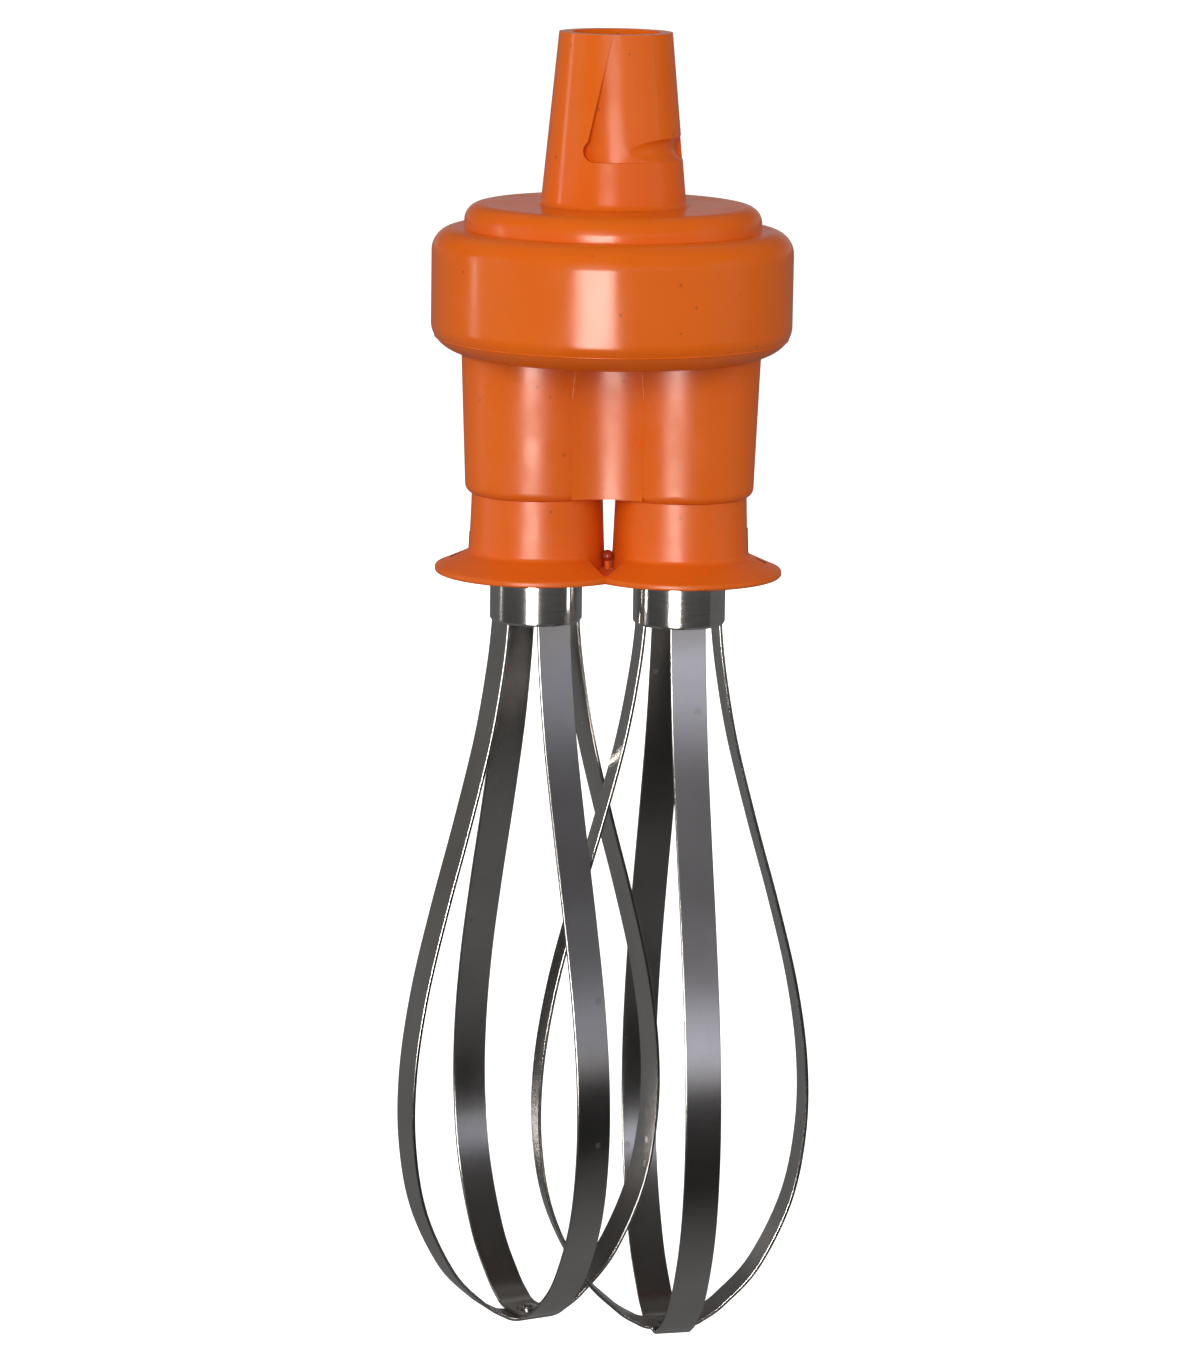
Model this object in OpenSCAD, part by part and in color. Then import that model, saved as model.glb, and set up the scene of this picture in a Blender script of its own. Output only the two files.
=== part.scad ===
// Immersion blender whisk attachment: a geared housing with two counter-turning strip whisks.
// Origin at the centre of the face that meets the motor, +Z up the spigot, X along the whisk axes.
// Millimetres. The whisks hang down, and the photographed front faces -Y.

/* [Spigot] */
// Height of the spigot above the motor face
spigot_len = 28.3; // [24:0.1:32]
// Outer radius at the open end
spigot_top_r = 9.35; // [9:0.05:10.5]
// Outer radius at the motor face
spigot_base_r = 12.05; // [11.6:0.05:13]
// Radius of the hollow inside
spigot_bore_r = 7.2; // [7:0.05:7.5]
// Rounding where the spigot meets the motor face
spigot_root = 0.9; // [0.4:0.1:1.5]

/* [Bayonet] */
// Height of the ledge that ends each entry recess
ledge_z = 7.7; // [6:0.1:9]
// Sideways shift of the recess floor at the ledge
recess_shift_low = 1.3; // [0.9:0.05:1.4]
// Sideways shift of the recess floor at the open end
recess_shift_top = 0.3; // [0.2:0.05:0.4]
// Share of its shift by which the floor lies deeper than the spigot's wall
recess_fade = 0.7; // [0.6:0.05:0.75]
// Sideways shift that lets the locking slot fade in
slot_shift = 0.9; // [0.5:0.05:1.2]
// Turn from the front track to the back one, in degrees
track_turn = 140; // [138:1:150]
// Distance of the slanted wall from the axis at the ledge
recess_left = 4.7; // [3.5:0.1:5.5]
// Lean of the slanted wall from upright, in degrees
recess_lean = 12.5; // [8:0.5:16]
// Rounding between slanted wall and ledge
recess_corner = 1.8; // [1:0.1:2.4]
// Height of the locking slot
slot_high = 3.95; // [3:0.05:4.4]
// Depth of the locking slot where it is deepest
slot_deep = 1.2; // [0.8:0.05:1.5]
// How far round the locking slot runs, in degrees
slot_arc = 100; // [95:1:102]

/* [Housing] */
// Width of the ledge from the motor face's edge to the collar's side
ledge_wide = 5.35; // [4.5:0.05:6]
// Height of the step under the motor face
step_high = 4; // [3.5:0.1:5]
// Rounding of the step's upper edge
step_edge = 2.8; // [1.5:0.1:3]
// Height of the collar under the step
collar_high = 22.3; // [21:0.1:24]
// Free width between the lay gear's tips and the collar's bore
train_room = 1.3; // [0.8:0.05:2]
// Rounding of the collar's upper edge
collar_edge = 3.8; // [2:0.1:4]
// Rounding of the collar's lower edge
collar_sweep = 6.5; // [5:0.1:6.6]
// Height of the joint between the two mouldings above the collar's underside
seam_up = 3.7; // [3:0.1:4.2]
// Wall of the collar
collar_wall = 2.6; // [2.2:0.1:2.8]
// Thickness of the roof under the motor face
roof = 2.4; // [2.2:0.1:3]
// Thickness of the lower moulding's floor
floor_thick = 2.8; // [2.6:0.1:3.2]

/* [Whisk towers] */
// Distance between the two whisk axes
axis_gap = 24; // [23:0.1:25]
// How far each lobe reaches over the middle, under the collar
lobe_top_over = 0.95; // [0.5:0.05:1.3]
// How far each lobe reaches over the middle at the lower end
lobe_low_over = 0.1; // [0:0.05:0.4]
// Height of the lobes under the collar
lobe_high = 22.7; // [20:0.1:26]
// Rounding where collar and lobes meet
lobe_root = 0.8; // [0.5:0.1:0.8]
// Rounding at the lobes' lower end
lobe_edge = 1.5; // [0.8:0.1:2]
// Radius of the valley between the lobes, at the top
valley_r = 12; // [9:0.1:14]
// Half the gap between the sleeves at the top
sleeve_apart = 1.05; // [0.8:0.05:1.4]
// Widening of each sleeve from the lobe to the flange
sleeve_flare = 0.4; // [0.2:0.05:0.5]
// Height of the sleeves
sleeve_high = 9.2; // [8:0.1:10.5]
// Wall of the sleeves at the top
sleeve_wall = 2.2; // [1.8:0.1:2.4]
// How far the flange discs stand out from the sleeves
flange_wide = 5.7; // [5:0.1:6]
// Fall from the sleeve's lower end to the flange's rim
flange_fall = 2.4; // [2.2:0.1:2.6]
// Rounding where sleeve and flange meet
flange_root = 1; // [0.7:0.1:1.3]
// Height of the flange's rim
rim_high = 1.15; // [1.1:0.05:1.4]
// Wall of the flange discs
flange_wall = 1.5; // [1.2:0.1:1.8]
// Radius of the round head of the stud between the sleeves
stud_r = 0.95; // [0.8:0.05:1]
// Place of the stud in front of the middle
stud_ahead = 3; // [2:0.1:4]

/* [Gear train] */
// Teeth of each whisk gear
whisk_teeth = 24; // [24:1:24]
// Teeth of the lay pinion
lay_pinion_teeth = 12; // [12:1:12]
// Teeth of the lay gear
lay_teeth = 26; // [26:1:26]
// Teeth of the drive pinion
drive_teeth = 12; // [12:1:12]
// Pressure angle of all teeth, in degrees
pressure = 25; // [25:1:25]
// Tip height over the pitch circle, in modules
tip_rise = 0.8; // [0.7:0.05:0.8]
// Root depth under the pitch circle, in modules
root_drop = 1.05; // [1:0.05:1.1]
// Thinning of each tooth at the pitch circle
tooth_slack = 0.07; // [0.05:0.01:0.1]
// Thickness of the lay gear
lay_gear_thick = 4.4; // [4:0.1:4.6]
// Free height over the lay gear
lay_gear_room = 0.9; // [0.6:0.1:1.2]
// Free height between the whisk gears and the bearing plate
plate_room = 1; // [0.6:0.1:1.4]

/* [Shafts and bushes] */
// Radius of the whisk shafts
shaft_r = 3; // [2.5:0.1:3]
// Radius of the lay shaft
lay_shaft_r = 2; // [1.5:0.1:2]
// Radius of the drive shaft's lower part
pilot_r = 2.5; // [2:0.1:2.5]
// Running clearance between a shaft and its bush
run = 0.05; // [0.03:0.01:0.08]
// Gap between turning and fixed faces
face_gap = 0.3; // [0.25:0.05:0.4]
// Thickness of the bearing plate
plate_thick = 3; // [2.6:0.1:3]
// Wall of the whisk shafts' upper bushes
bush_wall = 1.15; // [1:0.05:1.3]
// Wall of the whisk shafts' lower bushes
low_bush_wall = 1.45; // [1.2:0.05:1.6]
// Length of the lower bushes
low_bush_len = 12; // [8:0.5:14]
// Wall of the tubes that hold the lower bushes
carrier_wall = 1.8; // [1.5:0.1:2]
// Width of the shaft seals from shaft to sleeve
seal_wide = 3.8; // [3.2:0.1:4.2]
// Height of the shaft seals
seal_high = 4.3; // [3:0.1:4.4]
// Height of the washers under the whisk gears
washer_high = 0.7; // [0.5:0.1:1]

/* [Drive end] */
// Outer radius of the ball bearing
bearing_r = 8; // [7.5:0.1:8]
// Width of the ball bearing
bearing_wide = 5; // [4.5:0.1:5]
// Balls in the bearing
ball_count = 9; // [7:1:9]
// Height of the coupling's lower end
coupling_z = 12; // [9:0.5:14]
// Height of the coupling
coupling_high = 13; // [10:0.5:14]
// Radius of the coupling
coupling_r = 5.6; // [5:0.1:6]
// Width across the flats of the coupling's socket
socket_flats = 7; // [6.5:0.1:7.4]
// Depth of the coupling's socket
socket_deep = 5.6; // [4:0.1:7]

/* [Fixings] */
// Distance of the housing screws in from the collar's bore
boss_in = 4.35; // [4.2:0.05:4.6]
// Angle of the housing screws from the whisk axes, in degrees
boss_angle = 43.25; // [42.5:0.05:44]
// Radius of the screw bosses
boss_r = 2.9; // [2.6:0.1:2.9]
// Radius of the housing screws' shanks
screw_r = 1.25; // [1.1:0.05:1.3]
// Radius of the housing screws' heads
head_r = 2.4; // [2.2:0.1:2.5]
// Radius of the plate screws' shanks
plate_screw_r = 1; // [0.9:0.05:1]

/* [Whisks] */
// Free width between the steel cups and the sleeves
cup_room = 1; // [0.6:0.05:1.2]
// Wall of the cup
cup_wall = 0.3; // [0.25:0.05:0.35]
// How far the cup stands up inside the sleeve
cup_sunk = 2.2; // [1.8:0.1:2.8]
// Height of the cup
cup_high = 14; // [11:0.1:16]
// Width of the strips
strip_wide = 6.1; // [5.5:0.05:6.2]
// Thickness of the strips
strip_thick = 0.6; // [0.5:0.05:0.6]
// How much shorter the left loops hang
left_short = 1.6; // [0:0.1:2]
// Turn of the left whisk from the front, in degrees
left_turn = 30; // [20:1:40]
// Turn of the right whisk from the front, in degrees
right_turn = 15; // [5:1:25]
// Radius of the rivet's shank
rivet_r = 0.8; // [0.6:0.05:0.8]
// Radius of the disc under the rivet's dome
rivet_disc_r = 1.75; // [1.5:0.05:1.9]

/* [Hidden] */
$fn = 96;
fine = 36;
eps = 0.02;

// Half the distance between the whisk axes.
half_gap = axis_gap / 2;
// Modules: the two whisk gears mesh across the axis gap, the faster pair is finer.
low_module = axis_gap / whisk_teeth;
high_module = 0.8 * low_module;
// Pitch radii of the five wheels.
whisk_pitch = low_module * whisk_teeth / 2;
lay_pinion_pitch = low_module * lay_pinion_teeth / 2;
lay_pitch = high_module * lay_teeth / 2;
drive_pitch = high_module * drive_teeth / 2;
// The lay shaft stands where both of its meshes are at their true distance.
lay_reach = lay_pitch + drive_pitch;
low_reach = whisk_pitch + lay_pinion_pitch;
lay_x = (low_reach * low_reach - lay_reach * lay_reach - half_gap * half_gap) / (2 * half_gap);
lay_y = sqrt(lay_reach * lay_reach - lay_x * lay_x);
// Directions in which the wheels meet, and the turns that bring tooth against gap.
left_to_lay = atan2(lay_y, lay_x + half_gap);
lay_to_drive = atan2(-lay_y, -lay_x);
right_phase = mesh_turn(0, whisk_teeth, 0, whisk_teeth);
lay_pinion_phase = mesh_turn(left_to_lay, whisk_teeth, 0, lay_pinion_teeth);
drive_phase = mesh_turn(lay_to_drive, lay_teeth, 0, drive_teeth);

// The collar goes round the lay gear, and the towers stand round the whisk axes.
lay_tip_r = lay_pitch + tip_rise * high_module;
collar_r = lay_y + lay_tip_r + train_room + collar_wall;
step_r = collar_r - ledge_wide;
lobe_top_r = half_gap + lobe_top_over;
lobe_low_r = half_gap + lobe_low_over;
sleeve_top_r = half_gap - sleeve_apart;
sleeve_low_r = sleeve_top_r + sleeve_flare;
sleeve_bore_r = sleeve_top_r - sleeve_wall;
flange_r = sleeve_low_r + flange_wide;
cup_r = sleeve_bore_r - cup_room;

// Levels inside and outside the housing, all measured up from the motor face.
collar_low = -step_high - collar_high;
seam = collar_low + seam_up;
lobe_low = collar_low - lobe_high;
flange_top = lobe_low - sleeve_high;
cup_top = flange_top + cup_sunk;
cup_low = cup_top - cup_high;
floor_top = collar_low + floor_thick;
bore_r = collar_r - collar_wall;
tongue_gap = 0.2;
tongue_r = bore_r - tongue_gap;
tongue_wall = 1.8;
tongue_in_r = tongue_r - tongue_wall;
tongue_top = seam + 2.6;
step_bore_r = step_r - collar_wall;
cavity_top = -step_high - collar_wall;
lay_gear_low = cavity_top - lay_gear_room - lay_gear_thick;
plate_top = lay_gear_low - 2 * face_gap;
plate_low = plate_top - plate_thick;
whisk_gear_low = floor_top + washer_high + face_gap;
whisk_gear_thick = plate_low - plate_room - whisk_gear_low;
seal_ring_r = 0.6;
ball_track_r = 5.7;
ball_r = 1.2;
bearing_low = -roof;
bearing_top = bearing_low + bearing_wide;
shelf = 1.4;
shelf_r = 6.2;
seal_bed = bearing_top + shelf;
drive_seal_high = 2.5;
drive_r = 3;
drive_low = plate_top - 0.8 * plate_thick;
pinion_low = plate_top + face_gap;
pinion_high = 5;
lay_boss_r = 4;
lay_bush_r = 3;
lay_bush_high = 2.2;
lay_boss_low = lay_gear_low + lay_gear_thick + 2 * face_gap;
lay_shaft_top = lay_boss_low + lay_bush_high - face_gap;
lay_floor = floor_top + 0.5;
lay_shaft_low = lay_floor - lay_bush_high;
lay_hub_r = 3.6;
pad_top = seam + 1;
pad_r = 3.2;
head_deep = 2;
head_high = 1.6;
thread_deep = 8;
post_r = 2.4;
post_angles = [-118.8, -61.2, 58];
post_reach = tongue_in_r - post_r - 0.4;
plate_screw_deep = 6;
plate_head_high = 1.3;
cross_wide = 0.6;
posts = [for (a = post_angles) post_reach * [cos(a), sin(a)]];
boss_reach = bore_r - boss_in;
boss_turns = [boss_angle, 180 - boss_angle, 180 + boss_angle, -boss_angle];
plate_r = bore_r - 0.5;
clip_high = 0.8;
bush_flange = 0.6;
bush_flange_r = 5.2;
upper_bush_r = shaft_r + run + bush_wall;
low_bush_r = shaft_r + run + low_bush_wall;
carrier_r = low_bush_r + carrier_wall;
seal_r = shaft_r + seal_wide;
clip_low = plate_top + bush_flange + face_gap;
shaft_top = clip_low + clip_high + 0.8;
bush_low = lobe_low - 1;
bush_high = bush_low + low_bush_len;
seal_low = bush_low - seal_high;
lobe_wall = 2.1;
lobe_floor = lobe_low + 2;
rib = 1.6;
valley_half = 0.4875;
lobe_root_r = lobe_top_r - (lobe_top_r - lobe_low_r) * (1 + lobe_root) / (lobe_high - lobe_edge + 1);
rim_top = flange_top - flange_fall;
rim_low = rim_top - rim_high;
rim_top_edge = 0.45;
rim_low_edge = 0.4;
lens_z = rim_top + 0.1;
stud_high = 2.15;
stud_neck_r = 0.5;
root_r = sleeve_low_r - 0.06;
root_steps = 10;
cup_in_r = cup_r - cup_wall;
cup_plate = 1;
core_top = cup_top - cup_plate;
core_low = cup_low + 1;
shaft_low = cup_low + 4;
valley_low_r = valley_r + lobe_top_r - lobe_low_r;
valley_y = sqrt(pow(lobe_top_r + valley_r, 2) - half_gap * half_gap);

// A strip's flat back lies in the cup with its two edges this far off the wall.
strip_gap = 0.09;
strip_seat = sqrt(pow(cup_in_r - strip_gap, 2) - pow(strip_wide / 2, 2)) - strip_thick / 2;
// Half of a strip's middle line: how far out from its place in the cup, and how far down
// from the cup's top. It ends where the flat foot begins.
loop_line = [[0, -1.4], [0, -10], [0.1, -14], [1, -22], [3.2, -34], [7, -48.5], [11.15, -63],
    [14.65, -77], [16.7, -90.5], [16.8, -103], [14.55, -115.5], [9.1, -127], [3.2, -133.4],
    [-0.3, -135.9], [-3.2, -137.05]];
loop_last = len(loop_line) - 1;
loop_foot = cup_top + loop_line[loop_last][1];
loop_steps = 6;

// Cutting bodies reach this far, beyond every wall they go through.
far = 3 * collar_r;

// Turn that puts the second wheel's gap on the first wheel's tooth.
function mesh_turn(dir, teeth_a, turn_a, teeth_b) =
    dir + 180 - 360 / teeth_b * (0.5 - (dir - turn_a) * teeth_a / 360);

// Rotation of a flat point.
function turned(p, a) = [p[0] * cos(a) - p[1] * sin(a), p[0] * sin(a) + p[1] * cos(a)];

// Polar angle of the involute at a radius, in degrees.
function roll(r, base) =
    r <= base ? 0 : sqrt(pow(r / base, 2) - 1) * 180 / PI - acos(base / r);

// One smooth step through four neighbouring points.
function smooth(a, b, c, d, t) =
    0.5 * (2 * b + (c - a) * t + (2 * a - 5 * b + 4 * c - d) * t * t
    + (3 * b - a - 3 * c + d) * t * t * t);

// The strip's middle line with the shortening and the lower bed worked in.
function line_at(i, short, bed) =
    let (p = loop_line[max(0, min(loop_last, i))])
    let (way = p[1] / loop_line[loop_last][1])
    [(strip_seat + p[0]) * (i > loop_last ? -1 : 1), cup_top + p[1] + (short + bed) * way * way];

// The middle line in small steps.
function half_line(short, bed) = [
    for (i = [0 : loop_last - 1])
    for (k = [0 : loop_steps - 1])
    smooth(line_at(i - 1, short, bed), line_at(i, short, bed),
        line_at(i + 1, short, bed), line_at(i + 2, short, bed), k / loop_steps),
    line_at(loop_last, short, bed)];

// The line moved sideways by a distance.
function beside(line, off) = [
    for (i = [0 : len(line) - 1])
    let (a = line[max(0, i - 1)], b = line[min(len(line) - 1, i + 1)])
    let (d = b - a, n = norm(d))
    i == len(line) - 1 ? [line[i][0], line[i][1] - off]
    : line[i] + off * [-d[1], d[0]] / n];

// The same line on the other side of the axis, run backwards.
function mirrored(line) = [for (i = [len(line) - 1 : -1 : 0]) [-line[i][0], line[i][1]]];

// Disc with a rounded upper edge and a rounded lower edge, standing on z = 0.
module round_disc(r, high, top_edge, low_edge) {
    rotate_extrude()
        difference() {
            union() {
                translate([0, low_edge]) square([r, high - low_edge - top_edge]);
                square([r - low_edge, high - top_edge]);
                translate([0, low_edge]) square([r - top_edge, high - low_edge]);
                translate([r - top_edge, high - top_edge]) circle(top_edge, $fn = fine);
                translate([r - low_edge, low_edge]) circle(low_edge, $fn = fine);
            }
            translate([-r, -1]) square([r, high + 2]);
        }
}

// Tube between two radii.
module tube(r_out, r_in, high) {
    difference() {
        cylinder(r = r_out, h = high);
        translate([0, 0, -1]) cylinder(r = r_in, h = high + 2);
    }
}

// Places its children on both whisk axes.
module both() {
    for (side = [-1, 1]) translate([side * half_gap, 0, 0]) children();
}

// Places its children at the four housing screws.
module bosses() {
    for (a = boss_turns) rotate([0, 0, a]) translate([boss_reach, 0, 0]) children();
}

// Involute wheel standing on z = 0 with a plain bore.
module wheel(teeth, module_size, thick, bore) {
    pitch = module_size * teeth / 2;
    base = pitch * cos(pressure);
    tip = pitch + tip_rise * module_size;
    root = pitch - root_drop * module_size;
    half_tooth = 90 / teeth - tooth_slack / 2 / pitch * 180 / PI + roll(pitch, base);
    low = max(root, base);
    rises = [for (k = [0 : 4]) low + (tip - low) * k / 4];
    outline = [for (n = [0 : teeth - 1])
        let (mid = 360 * n / teeth)
        each concat(
            [root * [cos(mid - half_tooth), sin(mid - half_tooth)]],
            [for (r = rises) r * [cos(mid - half_tooth + roll(r, base)),
                sin(mid - half_tooth + roll(r, base))]],
            [for (k = [4 : -1 : 0]) rises[k] * [cos(mid + half_tooth - roll(rises[k], base)),
                sin(mid + half_tooth - roll(rises[k], base))]],
            [root * [cos(mid + half_tooth), sin(mid + half_tooth)]])];
    difference() {
        linear_extrude(height = thick) polygon(outline);
        translate([0, 0, -1]) cylinder(r = bore, h = thick + 2);
    }
}

// Ring with one gap, as sprung into a shaft groove.
module clip(r_out, r_in, high) {
    difference() {
        tube(r_out, r_in, high);
        translate([0, -r_in * 0.6, -1]) cube([far, r_in * 1.2, high + 2]);
    }
}

// One entry recess and its locking slot, cut from the front of the spigot.
module bayonet_cut() {
    slot_r = (slot_high * slot_high / 4 + slot_deep * slot_deep) / (2 * slot_deep);
    slot_z = ledge_z + slot_high / 2;
    cone_r = spigot_base_r - (spigot_base_r - spigot_top_r) * slot_z / spigot_len;
    up = spigot_len - ledge_z;
    ledge_r = spigot_base_r - (spigot_base_r - spigot_top_r) * ledge_z / spigot_len;
    floor_low_r = ledge_r - recess_fade * recess_shift_low;
    floor_top_r = spigot_top_r - recess_fade * recess_shift_top;
    floor_taper = (floor_low_r - floor_top_r) / up;
    floor_lean = atan((recess_shift_low - recess_shift_top) / up);
    beyond = 2;
    run_left = up * tan(recess_lean);
    corner_x = -recess_left + recess_corner * (0.76 + tan(recess_lean));
    difference() {
        intersection() {
            rotate([90, 0, 0])
                linear_extrude(height = spigot_base_r + 2)
                    union() {
                        polygon([[-recess_left + recess_corner * tan(recess_lean),
                            ledge_z + recess_corner],
                            [spigot_base_r + 1, ledge_z + recess_corner],
                            [spigot_base_r + 1, spigot_len + 1],
                            [-recess_left + run_left + tan(recess_lean), spigot_len + 1]]);
                        translate([corner_x, ledge_z])
                            square([spigot_base_r + 1 - corner_x, recess_corner + eps]);
                        translate([corner_x, ledge_z + recess_corner])
                            circle(recess_corner, $fn = fine);
                    }
            translate([0, 0, ledge_z - 1]) cylinder(r = spigot_base_r + 3, h = up + 2);
        }
        translate([recess_shift_low, 0, ledge_z]) rotate([0, -floor_lean, 0])
            translate([0, 0, -beyond])
                cylinder(r1 = floor_low_r + beyond * floor_taper,
                    r2 = floor_top_r - beyond * floor_taper, h = up + 2 * beyond);
    }
    intersection() {
        translate([-slot_shift, 0, slot_z])
            rotate_extrude()
                translate([cone_r - slot_deep + slot_shift + slot_r, 0])
                    circle(slot_r, $fn = fine);
        linear_extrude(height = spigot_len)
            polygon([[0, 0], [0, -far], [far, -far], [far, far * tan(slot_arc - 90)]]);
    }
}

// Hollow spigot with its two bayonet recesses.
module spigot() {
    difference() {
        union() {
            cylinder(r1 = spigot_base_r, r2 = spigot_top_r, h = spigot_len);
            rotate_extrude()
                difference() {
                    square([spigot_base_r + spigot_root, spigot_root]);
                    translate([spigot_base_r + spigot_root - 0.05, spigot_root])
                        circle(spigot_root, $fn = fine);
                }
        }
        bayonet_cut();
        rotate([0, 0, track_turn]) bayonet_cut();
        translate([0, 0, seal_bed]) cylinder(r = spigot_bore_r, h = spigot_len);
        translate([0, 0, -1]) cylinder(r = shelf_r, h = spigot_len);
        translate([0, 0, -1]) cylinder(r = bearing_r, h = bearing_top + 1);
    }
}

// Step and collar as one solid, from the motor face to the collar's underside.
module drum() {
    translate([0, 0, -step_high - 5]) round_disc(step_r, step_high + 5, step_edge, 0.5);
    translate([0, 0, collar_low])
        round_disc(collar_r, collar_high, collar_edge, collar_sweep);
}

module upper_housing() {
    color("darkorange") {
        spigot();
        difference() {
            drum();
            translate([0, 0, collar_low - 1]) cylinder(r = far, h = seam_up + 1);
            translate([0, 0, seam - 1]) cylinder(r = bore_r, h = cavity_top - seam + 1);
            translate([0, 0, cavity_top - 1]) cylinder(r = step_bore_r, h = -roof - cavity_top + 1);
            translate([0, 0, -roof - 1]) cylinder(r = bearing_r, h = roof + 2);
        }
        bosses()
            difference() {
                translate([0, 0, pad_top]) cylinder(r = boss_r, h = cavity_top + 1 - pad_top);
                translate([0, 0, pad_top - 1]) cylinder(r = screw_r, h = thread_deep + 1, $fn = fine);
            }
        translate([lay_x, lay_y, lay_boss_low])
            difference() {
                cylinder(r = lay_boss_r, h = -roof - lay_boss_low);
                translate([0, 0, -1]) cylinder(r = lay_bush_r, h = lay_bush_high + 1);
            }
    }
}

// Concave ring that flares a round wall into the collar's underside.
module root_ring(r) {
    translate([0, 0, collar_low]) rotate_extrude() difference() {
        translate([r - 1, -lobe_root]) square([lobe_root + 1, lobe_root + 0.3]);
        translate([r + lobe_root, -lobe_root]) circle(lobe_root, $fn = fine);
    }
}

// One lobe from the collar's underside down, rounded at the foot.
module lobe() {
    translate([0, 0, lobe_low + lobe_edge])
        cylinder(r1 = lobe_low_r, r2 = lobe_top_r, h = lobe_high - lobe_edge + 1);
    translate([0, 0, lobe_low]) round_disc(lobe_low_r, lobe_edge * 2, 0.3, lobe_edge);
    root_ring(lobe_root_r);
}

// Infill between the lobes, with the concave valleys front and back.
module valley_block() {
    half = valley_half * half_gap;
    difference() {
        translate([-half, -lobe_low_r + 1, lobe_low + 0.4])
            cube([2 * half, 2 * lobe_low_r - 2, lobe_high + 0.6]);
        for (side = [-1, 1])
            translate([0, side * valley_y, lobe_low])
                cylinder(r1 = valley_low_r, r2 = valley_r, h = lobe_high + 1);
    }
}

// Outer form of one flange disc: thin rim, sloping top, and a hollow root at the sleeve.
module flange_disc() {
    rim_in_r = flange_r - rim_top_edge;
    slope = atan(flange_fall / (rim_in_r - root_r));
    root_z = flange_top + flange_root * (1 - sin(slope)) / cos(slope);
    translate([0, 0, rim_low]) round_disc(flange_r, rim_high, rim_top_edge, rim_low_edge);
    rotate_extrude() polygon([
        [0, rim_low + rim_low_edge], [rim_in_r, rim_low + rim_low_edge], [rim_in_r, rim_top],
        for (k = [0 : root_steps]) let (a = slope + (90 - slope) * k / root_steps)
            [root_r + flange_root * (1 - sin(a)), root_z - flange_root * cos(a)],
        [0, root_z]]);
}

// Stud with a round head between the sleeves.
module stud() {
    translate([0, -stud_ahead, lens_z]) {
        translate([0, 0, -0.3]) cylinder(r = stud_neck_r, h = stud_high + 0.3, $fn = fine);
        translate([0, 0, stud_high]) sphere(stud_r, $fn = fine);
    }
}

module lower_housing() {
    color("orangered") {
        stud();
        difference() {
            union() {
                difference() {
                    intersection() {
                        drum();
                        translate([0, 0, collar_low]) cylinder(r = collar_r, h = seam - collar_low);
                    }
                    translate([0, 0, floor_top]) cylinder(r = tongue_in_r, h = collar_high);
                }
                translate([0, 0, floor_top - eps]) tube(tongue_r, tongue_in_r, tongue_top - floor_top + eps);
                bosses() translate([0, 0, floor_top - eps]) cylinder(r = pad_r, h = pad_top - floor_top + eps);
                for (p = posts) translate([p[0], p[1], floor_top - eps])
                    cylinder(r = post_r, h = plate_low - floor_top + eps);
                translate([lay_x, lay_y, floor_top - eps]) cylinder(r = lay_boss_r, h = lay_floor - floor_top + eps);
                both() lobe();
                valley_block();
                both() translate([0, 0, flange_top])
                    cylinder(r1 = sleeve_low_r, r2 = sleeve_top_r, h = sleeve_high + 0.5);
                both() flange_disc();
            }
            // Room for the upper moulding's bosses, and the groove of the seam ring.
            bosses() {
                translate([0, 0, pad_top]) cylinder(r = boss_r + tongue_gap, h = collar_high);
                translate([0, 0, collar_low - 1]) cylinder(r = screw_r + 0.25, h = collar_high, $fn = fine);
                translate([0, 0, collar_low - lobe_root - 1])
                    cylinder(r = head_r + 0.3, h = head_deep + lobe_root + 1);
            }
            translate([0, 0, tongue_top - 0.8 - seal_ring_r]) rotate_extrude()
                translate([bore_r - seal_ring_r * 2, -seal_ring_r]) square([far, seal_ring_r * 2]);
            for (p = posts) translate([p[0], p[1], plate_low - plate_screw_deep])
                cylinder(r = plate_screw_r, h = plate_screw_deep + 1, $fn = fine);
            translate([lay_x, lay_y, lay_floor - lay_bush_high - face_gap])
                cylinder(r = lay_bush_r, h = collar_high);
            // Lobe cavities round the bush carriers, leaving four ribs each.
            both() difference() {
                translate([0, 0, lobe_floor]) cylinder(r = lobe_low_r - lobe_wall, h = floor_top - lobe_floor + 1);
                translate([0, 0, lobe_floor - 1]) cylinder(r = carrier_r, h = floor_top - lobe_floor + 1);
                for (a = [0 : 45 : 135]) rotate([0, 0, a])
                    translate([-lobe_top_r, -rib / 2, lobe_floor - 1])
                        cube([2 * lobe_top_r, rib, floor_top - lobe_floor - 0.5]);
            }
            both() {
                translate([0, 0, bush_low - 1]) cylinder(r = low_bush_r, h = low_bush_len + 1);
                translate([0, 0, bush_high - 1]) cylinder(r = shaft_r + 0.6, h = floor_top - bush_high + 2);
                translate([0, 0, seal_low - 0.2]) cylinder(r = seal_r, h = seal_high + 0.2);
                translate([0, 0, rim_low - 1]) cylinder(r = sleeve_bore_r, h = seal_low - 0.2 - rim_low + 1);
                // Shallow hollow under the disc.
                translate([0, 0, rim_low - eps])
                    cylinder(r1 = flange_r - flange_wall, r2 = sleeve_bore_r + 0.6,
                        h = rim_high - 0.2);
            }
            // Sunk lens where the two discs overlap.
            difference() {
                intersection_for (side = [-1, 1])
                    translate([side * half_gap, 0, lens_z]) cylinder(r = flange_r - 0.35, h = 3);
                both() translate([0, 0, lens_z - 1]) cylinder(r = sleeve_low_r, h = sleeve_high);
            }
        }
    }
}

module seam_ring() {
    color("dimgray")
        translate([0, 0, tongue_top - 0.8 - seal_ring_r]) rotate_extrude()
            translate([bore_r - seal_ring_r, 0]) circle(seal_ring_r, $fn = fine);
}

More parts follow.
